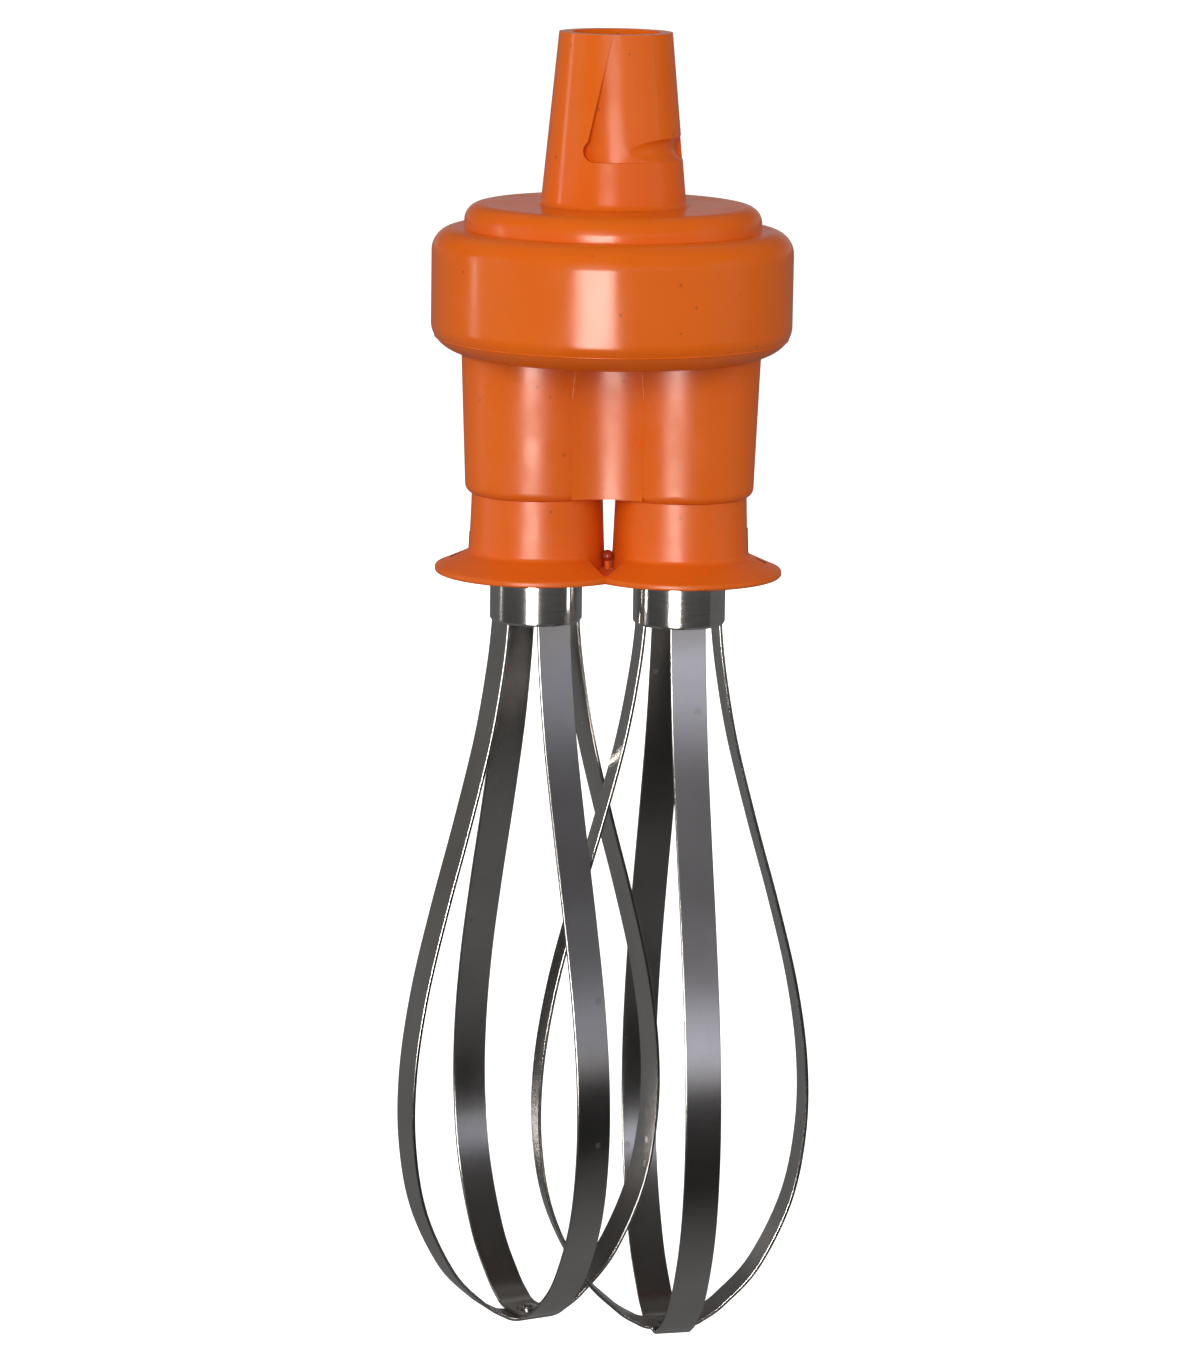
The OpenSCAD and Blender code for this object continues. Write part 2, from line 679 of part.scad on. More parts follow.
// Pan-head screw, head down, its seat at z = 0.
module screw(r, long, head, head_high) {
    difference() {
        union() {
            translate([0, 0, -head_high]) round_disc(head, head_high, 0.05, head_high * 0.45);
            cylinder(r = r, h = long, $fn = fine);
        }
        translate([0, 0, -head_high - 1]) for (a = [0, 90]) rotate([0, 0, a])
            translate([-head * 0.6, -cross_wide / 2, 0]) cube([head * 1.2, cross_wide, 1 + head_high * 0.6]);
    }
}

module housing_screws() {
    color("silver") bosses()
        translate([0, 0, collar_low + head_deep])
            screw(screw_r, pad_top - collar_low - head_deep + thread_deep - 1, head_r, head_high);
}

module bearing_plate() {
    color("ivory")
        difference() {
            translate([0, 0, plate_low]) cylinder(r = plate_r, h = plate_thick);
            bosses() translate([0, 0, plate_low - 1]) cylinder(r = boss_r + 0.3, h = plate_thick + 2);
            bosses() translate([0, -boss_r + 0.5, plate_low - 1])
                cube([far, 2 * boss_r - 1, plate_thick + 2]);
            both() translate([0, 0, plate_low - 1]) cylinder(r = upper_bush_r, h = plate_thick + 2);
            translate([0, 0, plate_low - 1]) cylinder(r = pilot_r + 1, h = plate_thick + 2);
            translate([lay_x, lay_y, plate_low - 1]) cylinder(r = lay_shaft_r + 0.8, h = plate_thick + 2);
            for (p = posts) translate([p[0], p[1], plate_low - 1])
                cylinder(r = plate_screw_r + 0.2, h = plate_thick + 2, $fn = fine);
        }
}

module plate_screws() {
    color("silver") for (p = posts) translate([p[0], p[1], plate_top])
        mirror([0, 0, 1])
            screw(plate_screw_r, plate_thick + plate_screw_deep - 1, 2 * plate_screw_r, plate_head_high);
}

module bearing_outer() {
    color("silver") translate([0, 0, bearing_low]) difference() {
        tube(bearing_r, ball_track_r + 1, bearing_wide);
        translate([0, 0, bearing_wide / 2]) rotate_extrude()
            translate([ball_track_r, 0]) circle(ball_r + run, $fn = fine);
    }
}

module bearing_balls() {
    color("gainsboro") translate([0, 0, bearing_low + bearing_wide / 2])
        for (n = [0 : ball_count - 1]) rotate([0, 0, 360 * n / ball_count])
            translate([ball_track_r, 0, 0]) sphere(ball_r, $fn = fine);
}

module bearing_inner() {
    color("silver") translate([0, 0, bearing_low]) difference() {
        tube(ball_track_r - 1, drive_r, bearing_wide);
        translate([0, 0, bearing_wide / 2]) rotate_extrude()
            translate([ball_track_r, 0]) circle(ball_r + run, $fn = fine);
    }
}

module drive_seal() {
    color("black") translate([0, 0, seal_bed])
        difference() {
            tube(spigot_bore_r, drive_r + run, drive_seal_high);
            translate([0, 0, 1]) tube(spigot_bore_r - 1, drive_r + 1, drive_seal_high);
        }
}

module drive_shaft() {
    color("lightgray") {
        translate([0, 0, drive_low]) cylinder(r = pilot_r, h = pinion_low + pinion_high - drive_low);
        difference() {
            translate([0, 0, pinion_low + pinion_high])
                cylinder(r = drive_r, h = coupling_z + coupling_high - socket_deep - 0.4 - pinion_low - pinion_high);
            translate([0, 0, bearing_low - 0.2 - clip_high]) tube(far, drive_r - 0.5, clip_high);
        }
    }
}

module drive_clip() {
    color("gray") translate([0, 0, bearing_low - 0.2 - clip_high]) clip(drive_r + 1.4, drive_r - 0.5, clip_high);
}

module drive_coupling() {
    color("white") translate([0, 0, coupling_z]) difference() {
        round_disc(coupling_r, coupling_high, 0.6, 0.4);
        translate([0, 0, -1]) cylinder(r = drive_r, h = coupling_high - socket_deep - 0.4 + 1);
        translate([0, 0, coupling_high - socket_deep])
            cylinder(r = socket_flats / sqrt(3), h = coupling_high, $fn = 6);
    }
}

module drive_pinion() {
    color("lightgray") translate([0, 0, pinion_low]) rotate([0, 0, drive_phase])
        wheel(drive_teeth, high_module, pinion_high, pilot_r);
}

module pilot_bush() {
    color("peru") translate([0, 0, plate_low]) tube(pilot_r + 1, pilot_r + run, plate_thick);
}

module lay_shaft() {
    color("lightgray") translate([lay_x, lay_y, lay_shaft_low])
        cylinder(r = lay_shaft_r, h = lay_shaft_top - lay_shaft_low);
}

module lay_gear() {
    color("ivory") translate([lay_x, lay_y, lay_gear_low]) difference() {
        union() {
            wheel(lay_teeth, high_module, lay_gear_thick, lay_shaft_r);
            tube(lay_hub_r, lay_shaft_r, lay_gear_thick + face_gap);
        }
        translate([0, 0, 0.73 * lay_gear_thick]) tube(0.8 * lay_pitch, lay_hub_r + 0.6, far);
    }
}

module lay_pinion() {
    color("lightgray") translate([lay_x, lay_y, whisk_gear_low])
        rotate([0, 0, lay_pinion_phase])
            wheel(lay_pinion_teeth, low_module, whisk_gear_thick + 0.3, lay_shaft_r);
}

module lay_bushes() {
    color("peru") {
        translate([lay_x, lay_y, lay_boss_low]) tube(lay_bush_r, lay_shaft_r + run, lay_bush_high);
        translate([lay_x, lay_y, lay_floor - lay_bush_high]) tube(lay_bush_r, lay_shaft_r + run, lay_bush_high);
    }
}

// Whisk wheel with a hub and a dished face.
module whisk_gear(turn) {
    translate([0, 0, whisk_gear_low]) rotate([0, 0, turn]) difference() {
        wheel(whisk_teeth, low_module, whisk_gear_thick, shaft_r);
        translate([0, 0, 0.7 * whisk_gear_thick]) tube(0.78 * whisk_pitch, shaft_r + 2.4, far);
        translate([0, 0, 0.2 * whisk_gear_thick - far]) tube(0.78 * whisk_pitch, shaft_r + 3, far);
    }
}

// Whisk shaft with its clip groove.
module whisk_shaft() {
    difference() {
        translate([0, 0, shaft_low]) cylinder(r = shaft_r, h = shaft_top - shaft_low);
        translate([0, 0, clip_low]) tube(far, shaft_r - 0.5, clip_high);
    }
}

module whisk_clip() {
    translate([0, 0, clip_low]) clip(shaft_r + 1.5, shaft_r - 0.5, clip_high);
}

// Steel cup, closed at the top, chamfered at the mouth.
module cup() {
    difference() {
        union() {
            translate([0, 0, cup_low]) cylinder(r1 = cup_r - 0.35, r2 = cup_r, h = 0.5);
            translate([0, 0, cup_low + 0.5]) round_disc(cup_r, cup_high - 0.5, 0.8, 0);
        }
        translate([0, 0, cup_low - 1]) cylinder(r = cup_in_r, h = cup_high - cup_plate + 1);
        translate([0, 0, cup_low]) cylinder(r = shaft_r, h = cup_high + 1);
    }
}

// Core that wedges the strip ends in the cup.
module core() {
    difference() {
        translate([0, 0, core_low]) cylinder(r = cup_in_r, h = core_top - core_low);
        translate([0, 0, shaft_low]) cylinder(r = shaft_r, h = far);
        for (a = [0 : 90 : 270]) rotate([0, 0, a])
            translate([strip_seat - strip_thick / 2 - eps, -strip_wide / 2 - eps, core_low - 1])
                cube([far, strip_wide + 2 * eps, core_top - core_low + 2]);
    }
}

// One strip loop in the XZ plane, drilled for the rivet.
module loop(short, bed) {
    line = half_line(short, bed);
    outer = beside(line, -strip_thick / 2);
    inner = beside(line, strip_thick / 2);
    difference() {
        rotate([90, 0, 0]) linear_extrude(height = strip_wide, center = true)
            polygon(concat(outer, mirrored(outer), [for (i = [0 : len(inner) - 1])
                [-inner[i][0], inner[i][1]]], mirrored([for (p = inner) [-p[0], p[1]]])));
        translate([0, 0, loop_foot - strip_wide]) cylinder(r = rivet_r, h = 2 * strip_wide, $fn = fine);
    }
}

// Rivet through both strips: domed disc above, domed foot below.
module rivet(short) {
    foot = loop_foot + short;
    top = foot + strip_thick * 1.5;
    low = foot - strip_thick / 2;
    disc_high = 0.22;
    dome_r = rivet_r + 0.15;
    rise = 0.5;
    ball = (dome_r * dome_r + rise * rise) / (2 * rise);
    translate([0, 0, low]) cylinder(r = rivet_r, h = top - low, $fn = fine);
    translate([0, 0, top]) cylinder(r = rivet_disc_r, h = disc_high, $fn = fine);
    translate([0, 0, top + disc_high]) intersection() {
        translate([0, 0, rise - ball]) sphere(ball, $fn = fine);
        cylinder(r = dome_r, h = far, $fn = fine);
    }
    translate([0, 0, low]) intersection() {
        translate([0, 0, ball - rise]) sphere(ball, $fn = fine);
        translate([0, 0, -far]) cylinder(r = dome_r, h = far, $fn = fine);
    }
}

module left_gear() { color("ivory") translate([-half_gap, 0, 0]) whisk_gear(0); }
module right_gear() { color("ivory") translate([half_gap, 0, 0]) whisk_gear(right_phase); }
module left_shaft() { color("lightgray") translate([-half_gap, 0, 0]) whisk_shaft(); }
module right_shaft() { color("lightgray") translate([half_gap, 0, 0]) whisk_shaft(); }
module left_clip() { color("gray") translate([-half_gap, 0, 0]) whisk_clip(); }
module right_clip() { color("gray") translate([half_gap, 0, 0]) whisk_clip(); }
module left_cup() { color("silver") translate([-half_gap, 0, 0]) cup(); }
module right_cup() { color("silver") translate([half_gap, 0, 0]) cup(); }
module left_core() {
    color("dimgray") translate([-half_gap, 0, 0]) rotate([0, 0, left_turn]) core();
}
module right_core() {
    color("dimgray") translate([half_gap, 0, 0]) rotate([0, 0, right_turn]) core();
}
module left_inner_loop() {
    color("silver") translate([-half_gap, 0, 0]) rotate([0, 0, left_turn - 90]) loop(left_short, strip_thick);
}
module left_outer_loop() {
    color("silver") translate([-half_gap, 0, 0]) rotate([0, 0, left_turn]) loop(left_short, 0);
}
module right_inner_loop() {
    color("silver") translate([half_gap, 0, 0]) rotate([0, 0, right_turn]) loop(0, strip_thick);
}
module right_outer_loop() {
    color("silver") translate([half_gap, 0, 0]) rotate([0, 0, right_turn - 90]) loop(0, 0);
}
module left_rivet() {
    color("gainsboro") translate([-half_gap, 0, 0]) rotate([0, 0, left_turn]) rivet(left_short);
}
module right_rivet() {
    color("gainsboro") translate([half_gap, 0, 0]) rotate([0, 0, right_turn]) rivet(0);
}

module upper_bushes() {
    color("peru") both() difference() {
        union() {
            translate([0, 0, plate_low]) cylinder(r = upper_bush_r, h = plate_thick);
            translate([0, 0, plate_top]) cylinder(r = bush_flange_r, h = bush_flange);
        }
        translate([0, 0, plate_low - 1]) cylinder(r = shaft_r + run, h = plate_thick + 3);
    }
}

module lower_bushes() {
    color("peru") both() translate([0, 0, bush_low]) tube(low_bush_r, shaft_r + run, low_bush_len);
}

module thrust_washers() {
    color("peru") both() translate([0, 0, floor_top]) tube(carrier_r - 0.4, shaft_r + 0.1, washer_high);
}

module shaft_seals() {
    color("black") both() translate([0, 0, seal_low]) difference() {
        tube(seal_r, shaft_r + run, seal_high);
        translate([0, 0, -1]) tube(seal_r - 1, shaft_r + 0.9, seal_high);
    }
}

upper_housing();
lower_housing();
seam_ring();
housing_screws();
bearing_plate();
plate_screws();
bearing_outer();
bearing_balls();
bearing_inner();
drive_seal();
drive_shaft();
drive_clip();
drive_coupling();
drive_pinion();
pilot_bush();
lay_shaft();
lay_gear();
lay_pinion();
lay_bushes();
left_gear();
left_shaft();
left_clip();
left_cup();
left_core();
left_inner_loop();
left_outer_loop();
left_rivet();
right_gear();
right_shaft();
right_clip();
right_cup();
right_core();
right_inner_loop();
right_outer_loop();
right_rivet();
upper_bushes();
lower_bushes();
thrust_washers();
shaft_seals();
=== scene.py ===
import logging
import math
from dataclasses import dataclass, field
from enum import Enum
from typing import Callable, Iterable, Sequence

import bmesh
import bpy
from mathutils import Matrix, Vector


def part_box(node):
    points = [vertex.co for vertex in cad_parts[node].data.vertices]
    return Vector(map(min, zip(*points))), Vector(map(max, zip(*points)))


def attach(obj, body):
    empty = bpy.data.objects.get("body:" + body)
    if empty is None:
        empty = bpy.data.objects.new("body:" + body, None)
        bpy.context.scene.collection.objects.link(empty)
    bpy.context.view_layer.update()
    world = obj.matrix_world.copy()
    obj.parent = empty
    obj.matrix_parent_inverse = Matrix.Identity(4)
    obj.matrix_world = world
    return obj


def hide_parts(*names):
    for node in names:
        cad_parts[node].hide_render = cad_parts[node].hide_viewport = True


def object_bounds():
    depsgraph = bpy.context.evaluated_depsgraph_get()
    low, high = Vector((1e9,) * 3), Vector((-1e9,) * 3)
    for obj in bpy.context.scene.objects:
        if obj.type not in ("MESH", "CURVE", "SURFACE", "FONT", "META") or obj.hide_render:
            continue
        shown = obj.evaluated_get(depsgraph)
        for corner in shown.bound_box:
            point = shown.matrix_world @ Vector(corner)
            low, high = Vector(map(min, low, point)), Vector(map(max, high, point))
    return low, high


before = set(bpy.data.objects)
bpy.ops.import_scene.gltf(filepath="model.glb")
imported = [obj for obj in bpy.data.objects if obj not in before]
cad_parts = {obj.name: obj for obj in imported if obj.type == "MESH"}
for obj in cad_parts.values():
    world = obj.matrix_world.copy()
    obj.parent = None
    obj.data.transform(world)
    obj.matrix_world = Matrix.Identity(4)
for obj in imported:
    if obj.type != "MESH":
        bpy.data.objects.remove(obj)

log = logging.getLogger("whisk_attachment")
MM = 0.001
AXIS_GAP = 24 * MM
MERGE = 1e-7
CAD_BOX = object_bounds()
Colour = tuple[float, float, float]
Point = tuple[float, float]


def rgba(colour: Colour) -> tuple[float, float, float, float]:
    """Gives a colour its full alpha."""
    return (*colour, 1.0)


# Studio


class Ray(Enum):
    """Kinds of ray that the room's walls and floor tell apart."""

    CAMERA = "Is Camera Ray"
    GLOSSY = "Is Glossy Ray"


class Use(Enum):
    """What a light panel is there for."""

    SHINE = "mirrored by gloss and steel, and lights nothing"
    FILL = "lights the plastic, and is mirrored by nothing"


class Desk:
    """A node tree with short ways to add and join nodes."""

    def __init__(self, tree: bpy.types.NodeTree) -> None:
        """Keeps the tree."""
        self.tree = tree

    def add(self, kind: str, **values: object) -> bpy.types.Node:
        """Adds a node.

        Args:
            kind: The node's type, without the word ShaderNode.
            values: Settings of the node, or values of inputs whose names they spell.

        Returns:
            The new node.
        """
        node = self.tree.nodes.new("ShaderNode" + kind if not kind.startswith("Node") else kind)
        for key, value in values.items():
            if hasattr(node, key):
                setattr(node, key, value)
            else:
                node.inputs[key.replace("_", " ")].default_value = value
        return node

    def join(self, source: bpy.types.NodeSocket, target: bpy.types.NodeSocket) -> None:
        """Links an output to an input."""
        self.tree.links.new(source, target)

    def maths(self, operation: str, first: object, second: object = 0.0,
              third: object = 0.0) -> bpy.types.NodeSocket:
        """Adds a Math node.

        Args:
            operation: The node's operation.
            first: A socket or a number.
            second: A socket or a number.
            third: A socket or a number.

        Returns:
            The value's socket.
        """
        node = self.add("Math", operation=operation)
        for place, value in zip(node.inputs, (first, second, third)):
            if isinstance(value, bpy.types.NodeSocket):
                self.join(value, place)
            else:
                place.default_value = value
        return node.outputs[0]

    def blend(self, mask: object, low: object, high: object) -> bpy.types.NodeSocket:
        """Mixes two colours by a mask.

        Args:
            mask: A socket or a number from 0 to 1.
            low: The colour, or its socket, where the mask is 0.
            high: The colour, or its socket, where the mask is 1.

        Returns:
            The mixed colour's socket.
        """
        node = self.add("Mix", data_type="RGBA")
        for place, value in ((node.inputs[0], mask), (node.inputs[6], low), (node.inputs[7], high)):
            if isinstance(value, bpy.types.NodeSocket):
                self.join(value, place)
            else:
                place.default_value = rgba(value) if isinstance(value, tuple) else value
        return node.outputs[2]

    def span(self, value: bpy.types.NodeSocket, low: float, high: float, start: float = 0.0,
             end: float = 1.0) -> bpy.types.NodeSocket:
        """Maps a value from one span to another, and clamps it.

        Args:
            value: The value's socket.
            low: Where the first span starts.
            high: Where the first span ends.
            start: What low becomes.
            end: What high becomes.

        Returns:
            The mapped value's socket.
        """
        node = self.add("MapRange", clamp=True)
        self.join(value, node.inputs[0])
        for place, number in zip(node.inputs[1:5], (low, high, start, end)):
            place.default_value = number
        return node.outputs[0]


@dataclass(frozen=True)
class Panel:
    """A soft light panel that faces the object.

    Azimuth is where it stands, seen from the object: 0 is in front, 90 on the right.
    """

    name: str
    use: Use
    azimuth: float
    height: float
    distance: float
    wide: float
    tall: float
    radiance: float
    colour: Colour

    def hang(self) -> bpy.types.Object:
        """Builds the light and turns it upright to the object's axis.

        Returns:
            The light's object.
        """
        light = bpy.data.lights.new(self.name, "AREA")
        light.shape = "RECTANGLE"
        light.size, light.size_y = self.wide, self.tall
        light.energy = self.radiance * math.pi * self.wide * self.tall
        light.color = self.colour
        lamp = bpy.data.objects.new(self.name, light)
        turn = math.radians(self.azimuth)
        lamp.location = (self.distance * math.sin(turn), -self.distance * math.cos(turn), self.height)
        way = Vector((-lamp.location.x, -lamp.location.y, 0))
        lamp.rotation_euler = way.to_track_quat("-Z", "Y").to_euler()
        lamp.visible_camera = False
        lamp.visible_glossy = self.use is Use.SHINE
        lamp.visible_diffuse = self.use is Use.FILL
        bpy.context.scene.collection.objects.link(lamp)
        return lamp


@dataclass(frozen=True)
class Glow:
    """A soft bright patch of the room, as steel mirrors it.

    Level is the sine of its elevation, and spread its height by the same measure.
    """

    azimuth: float
    level: float
    sharp: float
    spread: float
    colour: Colour

    def add_to(self, desk: Desk, way: bpy.types.NodeSocket, rise: bpy.types.NodeSocket,
               below: bpy.types.NodeSocket) -> bpy.types.NodeSocket:
        """Adds the patch to what the room shows so far.

        Args:
            desk: The world's node tree.
            way: The direction looked in.
            rise: Its upright part.
            below: The colour so far.

        Returns:
            The new colour's socket.
        """
        turn = math.radians(self.azimuth)
        facing = desk.add("VectorMath", operation="DOT_PRODUCT")
        facing.inputs[1].default_value = (math.sin(turn), -math.cos(turn), 0)
        desk.join(way, facing.inputs[0])
        ahead = desk.maths("MAXIMUM", facing.outputs["Value"], 0.0)
        off = desk.maths("DIVIDE", desk.maths("SUBTRACT", rise, self.level), self.spread)
        fade = desk.maths("EXPONENT", desk.maths("MULTIPLY", desk.maths("MULTIPLY", off, off), -1.0))
        share = desk.maths("MULTIPLY", desk.maths("POWER", ahead, self.sharp), fade)
        lit = desk.add("VectorMath", operation="SCALE")
        lit.inputs[0].default_value = self.colour
        desk.join(share, lit.inputs["Scale"])
        total = desk.add("VectorMath", operation="ADD")
        desk.join(below, total.inputs[0])
        desk.join(lit.outputs[0], total.inputs[1])
        return total.outputs[0]


@dataclass
class Studio:
    """Camera, room, floor and lights."""

    eye: tuple[float, float, float] = (0.028857, -0.835152, 0.082356)
    yaw: float = -2.0513
    pitch: float = -11.0077
    roll: float = 0.8567
    lens: float = 151.86
    sensor: float = 36.0
    floor_drop: float = 14 * MM
    floor_reach: float = 30.0
    sky: float = 0.42
    floor_light: float = 0.26
    floor_glow: float = 0.75
    floor_tones: tuple[Colour, Colour] = ((0.93, 0.93, 0.93), (0.97, 0.97, 0.97))
    dark_reach: Point = (0.6, 2.2)
    dark_to_pale: Point = (0.010, 0.42)
    behind_reach: Point = (-0.09, -0.02)
    behind_light: float = 0.14
    gloom: Colour = (0.034, 0.032, 0.031)
    glows: Sequence[Glow] = (
        Glow(28, 0.07, 6, 0.12, (0.52, 0.55, 0.68)),
        Glow(30, 0.00, 4, 0.34, (0.16, 0.165, 0.19)),
        Glow(-25, 0.00, 1, 0.45, (0.07, 0.067, 0.064)),
        Glow(180, 0.75, 1, 0.25, (0.20, 0.197, 0.193)),
        Glow(-140, -0.10, 3, 0.15, (0.22, 0.215, 0.205)),
        Glow(170, 0.00, 3, 0.28, (0.30, 0.30, 0.31)),
    )
    panels: Sequence[Panel] = (
        Panel("main_shine", Use.SHINE, -8, -0.112, 0.5, 0.20, 0.235, 18.0, (1.0, 0.98, 0.96)),
        Panel("left_shine", Use.SHINE, -94, -0.02, 0.8, 0.06, 0.34, 5.0, (1.0, 0.97, 0.94)),
        Panel("front_fill", Use.FILL, -10, 0.25, 1.0, 0.5, 0.5, 6.4, (1.0, 0.99, 0.96)),
        Panel("left_fill", Use.FILL, -75, 0.15, 1.0, 0.4, 0.5, 3.4, (1.0, 0.98, 0.95)),
        Panel("right_fill", Use.FILL, 80, 0.15, 1.0, 0.4, 0.5, 2.6, (1.0, 0.98, 0.95)),
        Panel("back_fill", Use.FILL, 180, 0.25, 1.0, 0.5, 0.5, 4.0, (1.0, 0.99, 0.97)),
    )

    def place_camera(self) -> bpy.types.Object:
        """Sets the camera at the photograph's place.

        Returns:
            The camera's object.
        """
        yaw, pitch, roll = (math.radians(a) for a in (self.yaw, self.pitch, self.roll))
        ahead = Vector((math.sin(yaw) * math.cos(pitch), math.cos(yaw) * math.cos(pitch),
                        math.sin(pitch)))
        level = Vector((math.cos(yaw), -math.sin(yaw), 0))
        upright = level.cross(ahead)
        right = math.cos(roll) * level + math.sin(roll) * upright
        upward = math.cos(roll) * upright - math.sin(roll) * level
        data = bpy.data.cameras.new("camera")
        data.sensor_fit, data.sensor_width, data.lens = "HORIZONTAL", self.sensor, self.lens
        data.clip_start, data.clip_end = 0.05, 100.0
        camera = bpy.data.objects.new("camera", data)
        turn = Matrix((right, upward, -ahead)).transposed().to_4x4()
        camera.matrix_world = Matrix.Translation(self.eye) @ turn
        bpy.context.scene.collection.objects.link(camera)
        bpy.context.scene.camera = camera
        return camera

    def light_room(self) -> None:
        """Makes the room white to the camera, even to the plastic and patchy to the steel."""
        world = bpy.data.worlds.new("room")
        bpy.context.scene.world = world
        world.use_nodes = True
        desk = Desk(world.node_tree)
        desk.tree.nodes.clear()
        way = desk.add("TexCoord").outputs["Generated"]
        rise = desk.add("SeparateXYZ")
        desk.join(way, rise.inputs[0])
        shown = desk.add("CombineXYZ", X=self.gloom[0], Y=self.gloom[1], Z=self.gloom[2]).outputs[0]
        for glow in self.glows:
            shown = glow.add_to(desk, way, rise.outputs[2], shown)
        seen, even, patchy = (desk.add("Background") for _ in range(3))
        seen.inputs[0].default_value = rgba((1.0, 1.0, 1.0))
        even.inputs[0].default_value = rgba((self.sky,) * 3)
        desk.join(shown, patchy.inputs[0])
        lit = self.tell_apart(desk, Ray.GLOSSY, even, patchy)
        view = self.tell_apart(desk, Ray.CAMERA, lit, seen)
        desk.join(view.outputs[0], desk.add("OutputWorld").inputs["Surface"])

    def lay_floor(self) -> bpy.types.Object:
        """Lays a wide pale floor under the whisks.

        Returns:
            The floor's object.
        """
        mesh = bpy.data.meshes.new("floor")
        bm = bmesh.new()
        bmesh.ops.create_circle(bm, cap_ends=True, radius=self.floor_reach, segments=64)
        bmesh.ops.translate(bm, verts=bm.verts, vec=(0, 0, CAD_BOX[0][2] - self.floor_drop))
        bm.to_mesh(mesh)
        bm.free()
        floor = bpy.data.objects.new("floor", mesh)
        bpy.context.scene.collection.objects.link(floor)
        material = bpy.data.materials.new("floor")
        material.use_nodes = True
        desk = Desk(material.node_tree)
        desk.tree.nodes.clear()
        place = desk.add("TexCoord").outputs["Object"]
        grain = desk.add("TexNoise", Scale=90.0, Detail=6.0)
        desk.join(place, grain.inputs["Vector"])
        pale = desk.add("BsdfPrincipled", Roughness=0.75)
        desk.join(desk.blend(grain.outputs[0], *self.floor_tones), pale.inputs["Base Color"])
        pale.inputs["Emission Color"].default_value = rgba((1.0, 1.0, 1.0))
        pale.inputs["Emission Strength"].default_value = self.floor_glow
        even = desk.add("Emission", Strength=self.floor_light)
        patchy = desk.add("Emission")
        desk.join(self.mirrored_floor(desk, place), patchy.inputs["Strength"])
        lit = self.tell_apart(desk, Ray.GLOSSY, even, patchy)
        view = self.tell_apart(desk, Ray.CAMERA, lit, pale)
        desk.join(view.outputs[0], desk.add("OutputMaterial").inputs["Surface"])
        mesh.materials.append(material)
        return floor

    def mirrored_floor(self, desk: Desk, place: bpy.types.NodeSocket) -> bpy.types.NodeSocket:
        """Makes the floor dark to steel in front of the object, and pale behind and far off.

        Args:
            desk: The floor's node tree.
            place: Where on the floor.

        Returns:
            The floor's brightness.
        """
        far = desk.add("VectorMath", operation="LENGTH")
        desk.join(place, far.inputs[0])
        front = desk.span(far.outputs["Value"], *self.dark_reach, *self.dark_to_pale)
        parts = desk.add("SeparateXYZ")
        desk.join(place, parts.inputs[0])
        behind = desk.span(parts.outputs[1], *self.behind_reach)
        back = desk.maths("MULTIPLY", behind, desk.maths("SUBTRACT", self.behind_light, front))
        return desk.maths("ADD", front, back)

    @staticmethod
    def tell_apart(desk: Desk, ray: Ray, other: bpy.types.Node,
                   this: bpy.types.Node) -> bpy.types.Node:
        """Shows one shader to one kind of ray and another to the rest.

        Args:
            desk: The node tree.
            ray: The kind of ray.
            other: The shader for the other rays.
            this: The shader for that kind of ray.

        Returns:
            The mixed shader's node.
        """
        mix = desk.add("MixShader")
        desk.join(desk.add("LightPath").outputs[ray.value], mix.inputs[0])
        desk.join(other.outputs[0], mix.inputs[1])
        desk.join(this.outputs[0], mix.inputs[2])
        return mix

    def build(self) -> None:
        """Builds the whole studio, the camera first."""
        self.place_camera()
        self.light_room()
        self.lay_floor()
        for panel in self.panels:
            panel.hang()
        bpy.context.scene.view_settings.view_transform = "Standard"


# Shared effects


@dataclass(frozen=True)
class Effect:
    """A shader node group that more than one finish uses."""

    name: str
    inputs: dict[str, float]
    outputs: Sequence[str]
    fill: Callable[[Desk, bpy.types.Node, bpy.types.Node], None]

    def group(self) -> bpy.types.NodeTree:
        """Builds the group once.

        Returns:
            The group's node tree.
        """
        if self.name in bpy.data.node_groups:
            return bpy.data.node_groups[self.name]
        tree = bpy.data.node_groups.new(self.name, "ShaderNodeTree")
        tree.interface.new_socket("Place", in_out="INPUT", socket_type="NodeSocketVector")
        for label, value in self.inputs.items():
            socket = tree.interface.new_socket(label, in_out="INPUT", socket_type="NodeSocketFloat")
            socket.default_value = value
        for label in self.outputs:
            tree.interface.new_socket(label, in_out="OUTPUT", socket_type="NodeSocketFloat")
        desk = Desk(tree)
        self.fill(desk, desk.add("NodeGroupInput"), desk.add("NodeGroupOutput"))
        return tree

    def use(self, desk: Desk, place: bpy.types.NodeSocket, **values: float) -> bpy.types.Node:
        """Places the group in a material.

        Args:
            desk: The material's node tree.
            place: The coordinates that the effect reads.
            values: The group's inputs.

        Returns:
            The group's node.
        """
        node = desk.tree.nodes.new("ShaderNodeGroup")
        node.node_tree = self.group()
        desk.join(place, node.inputs["Place"])
        for label, value in values.items():
            node.inputs[label].default_value = value
        return node


def fill_mottle(desk: Desk, given: bpy.types.Node, result: bpy.types.Node) -> None:
    """Draws soft clouds between two levels.

    Args:
        desk: The group's node tree.
        given: The group's input node.
        result: The group's output node.
    """
    noise = desk.add("TexNoise", Detail=4.0, Roughness=0.55)
    desk.join(given.outputs["Place"], noise.inputs["Vector"])
    desk.join(given.outputs["Scale"], noise.inputs["Scale"])
    level = desk.span(noise.outputs[0], 0.3, 0.7)
    gap = desk.maths("SUBTRACT", given.outputs["High"], given.outputs["Low"])
    desk.join(desk.maths("MULTIPLY_ADD", level, gap, given.outputs["Low"]), result.inputs["Level"])


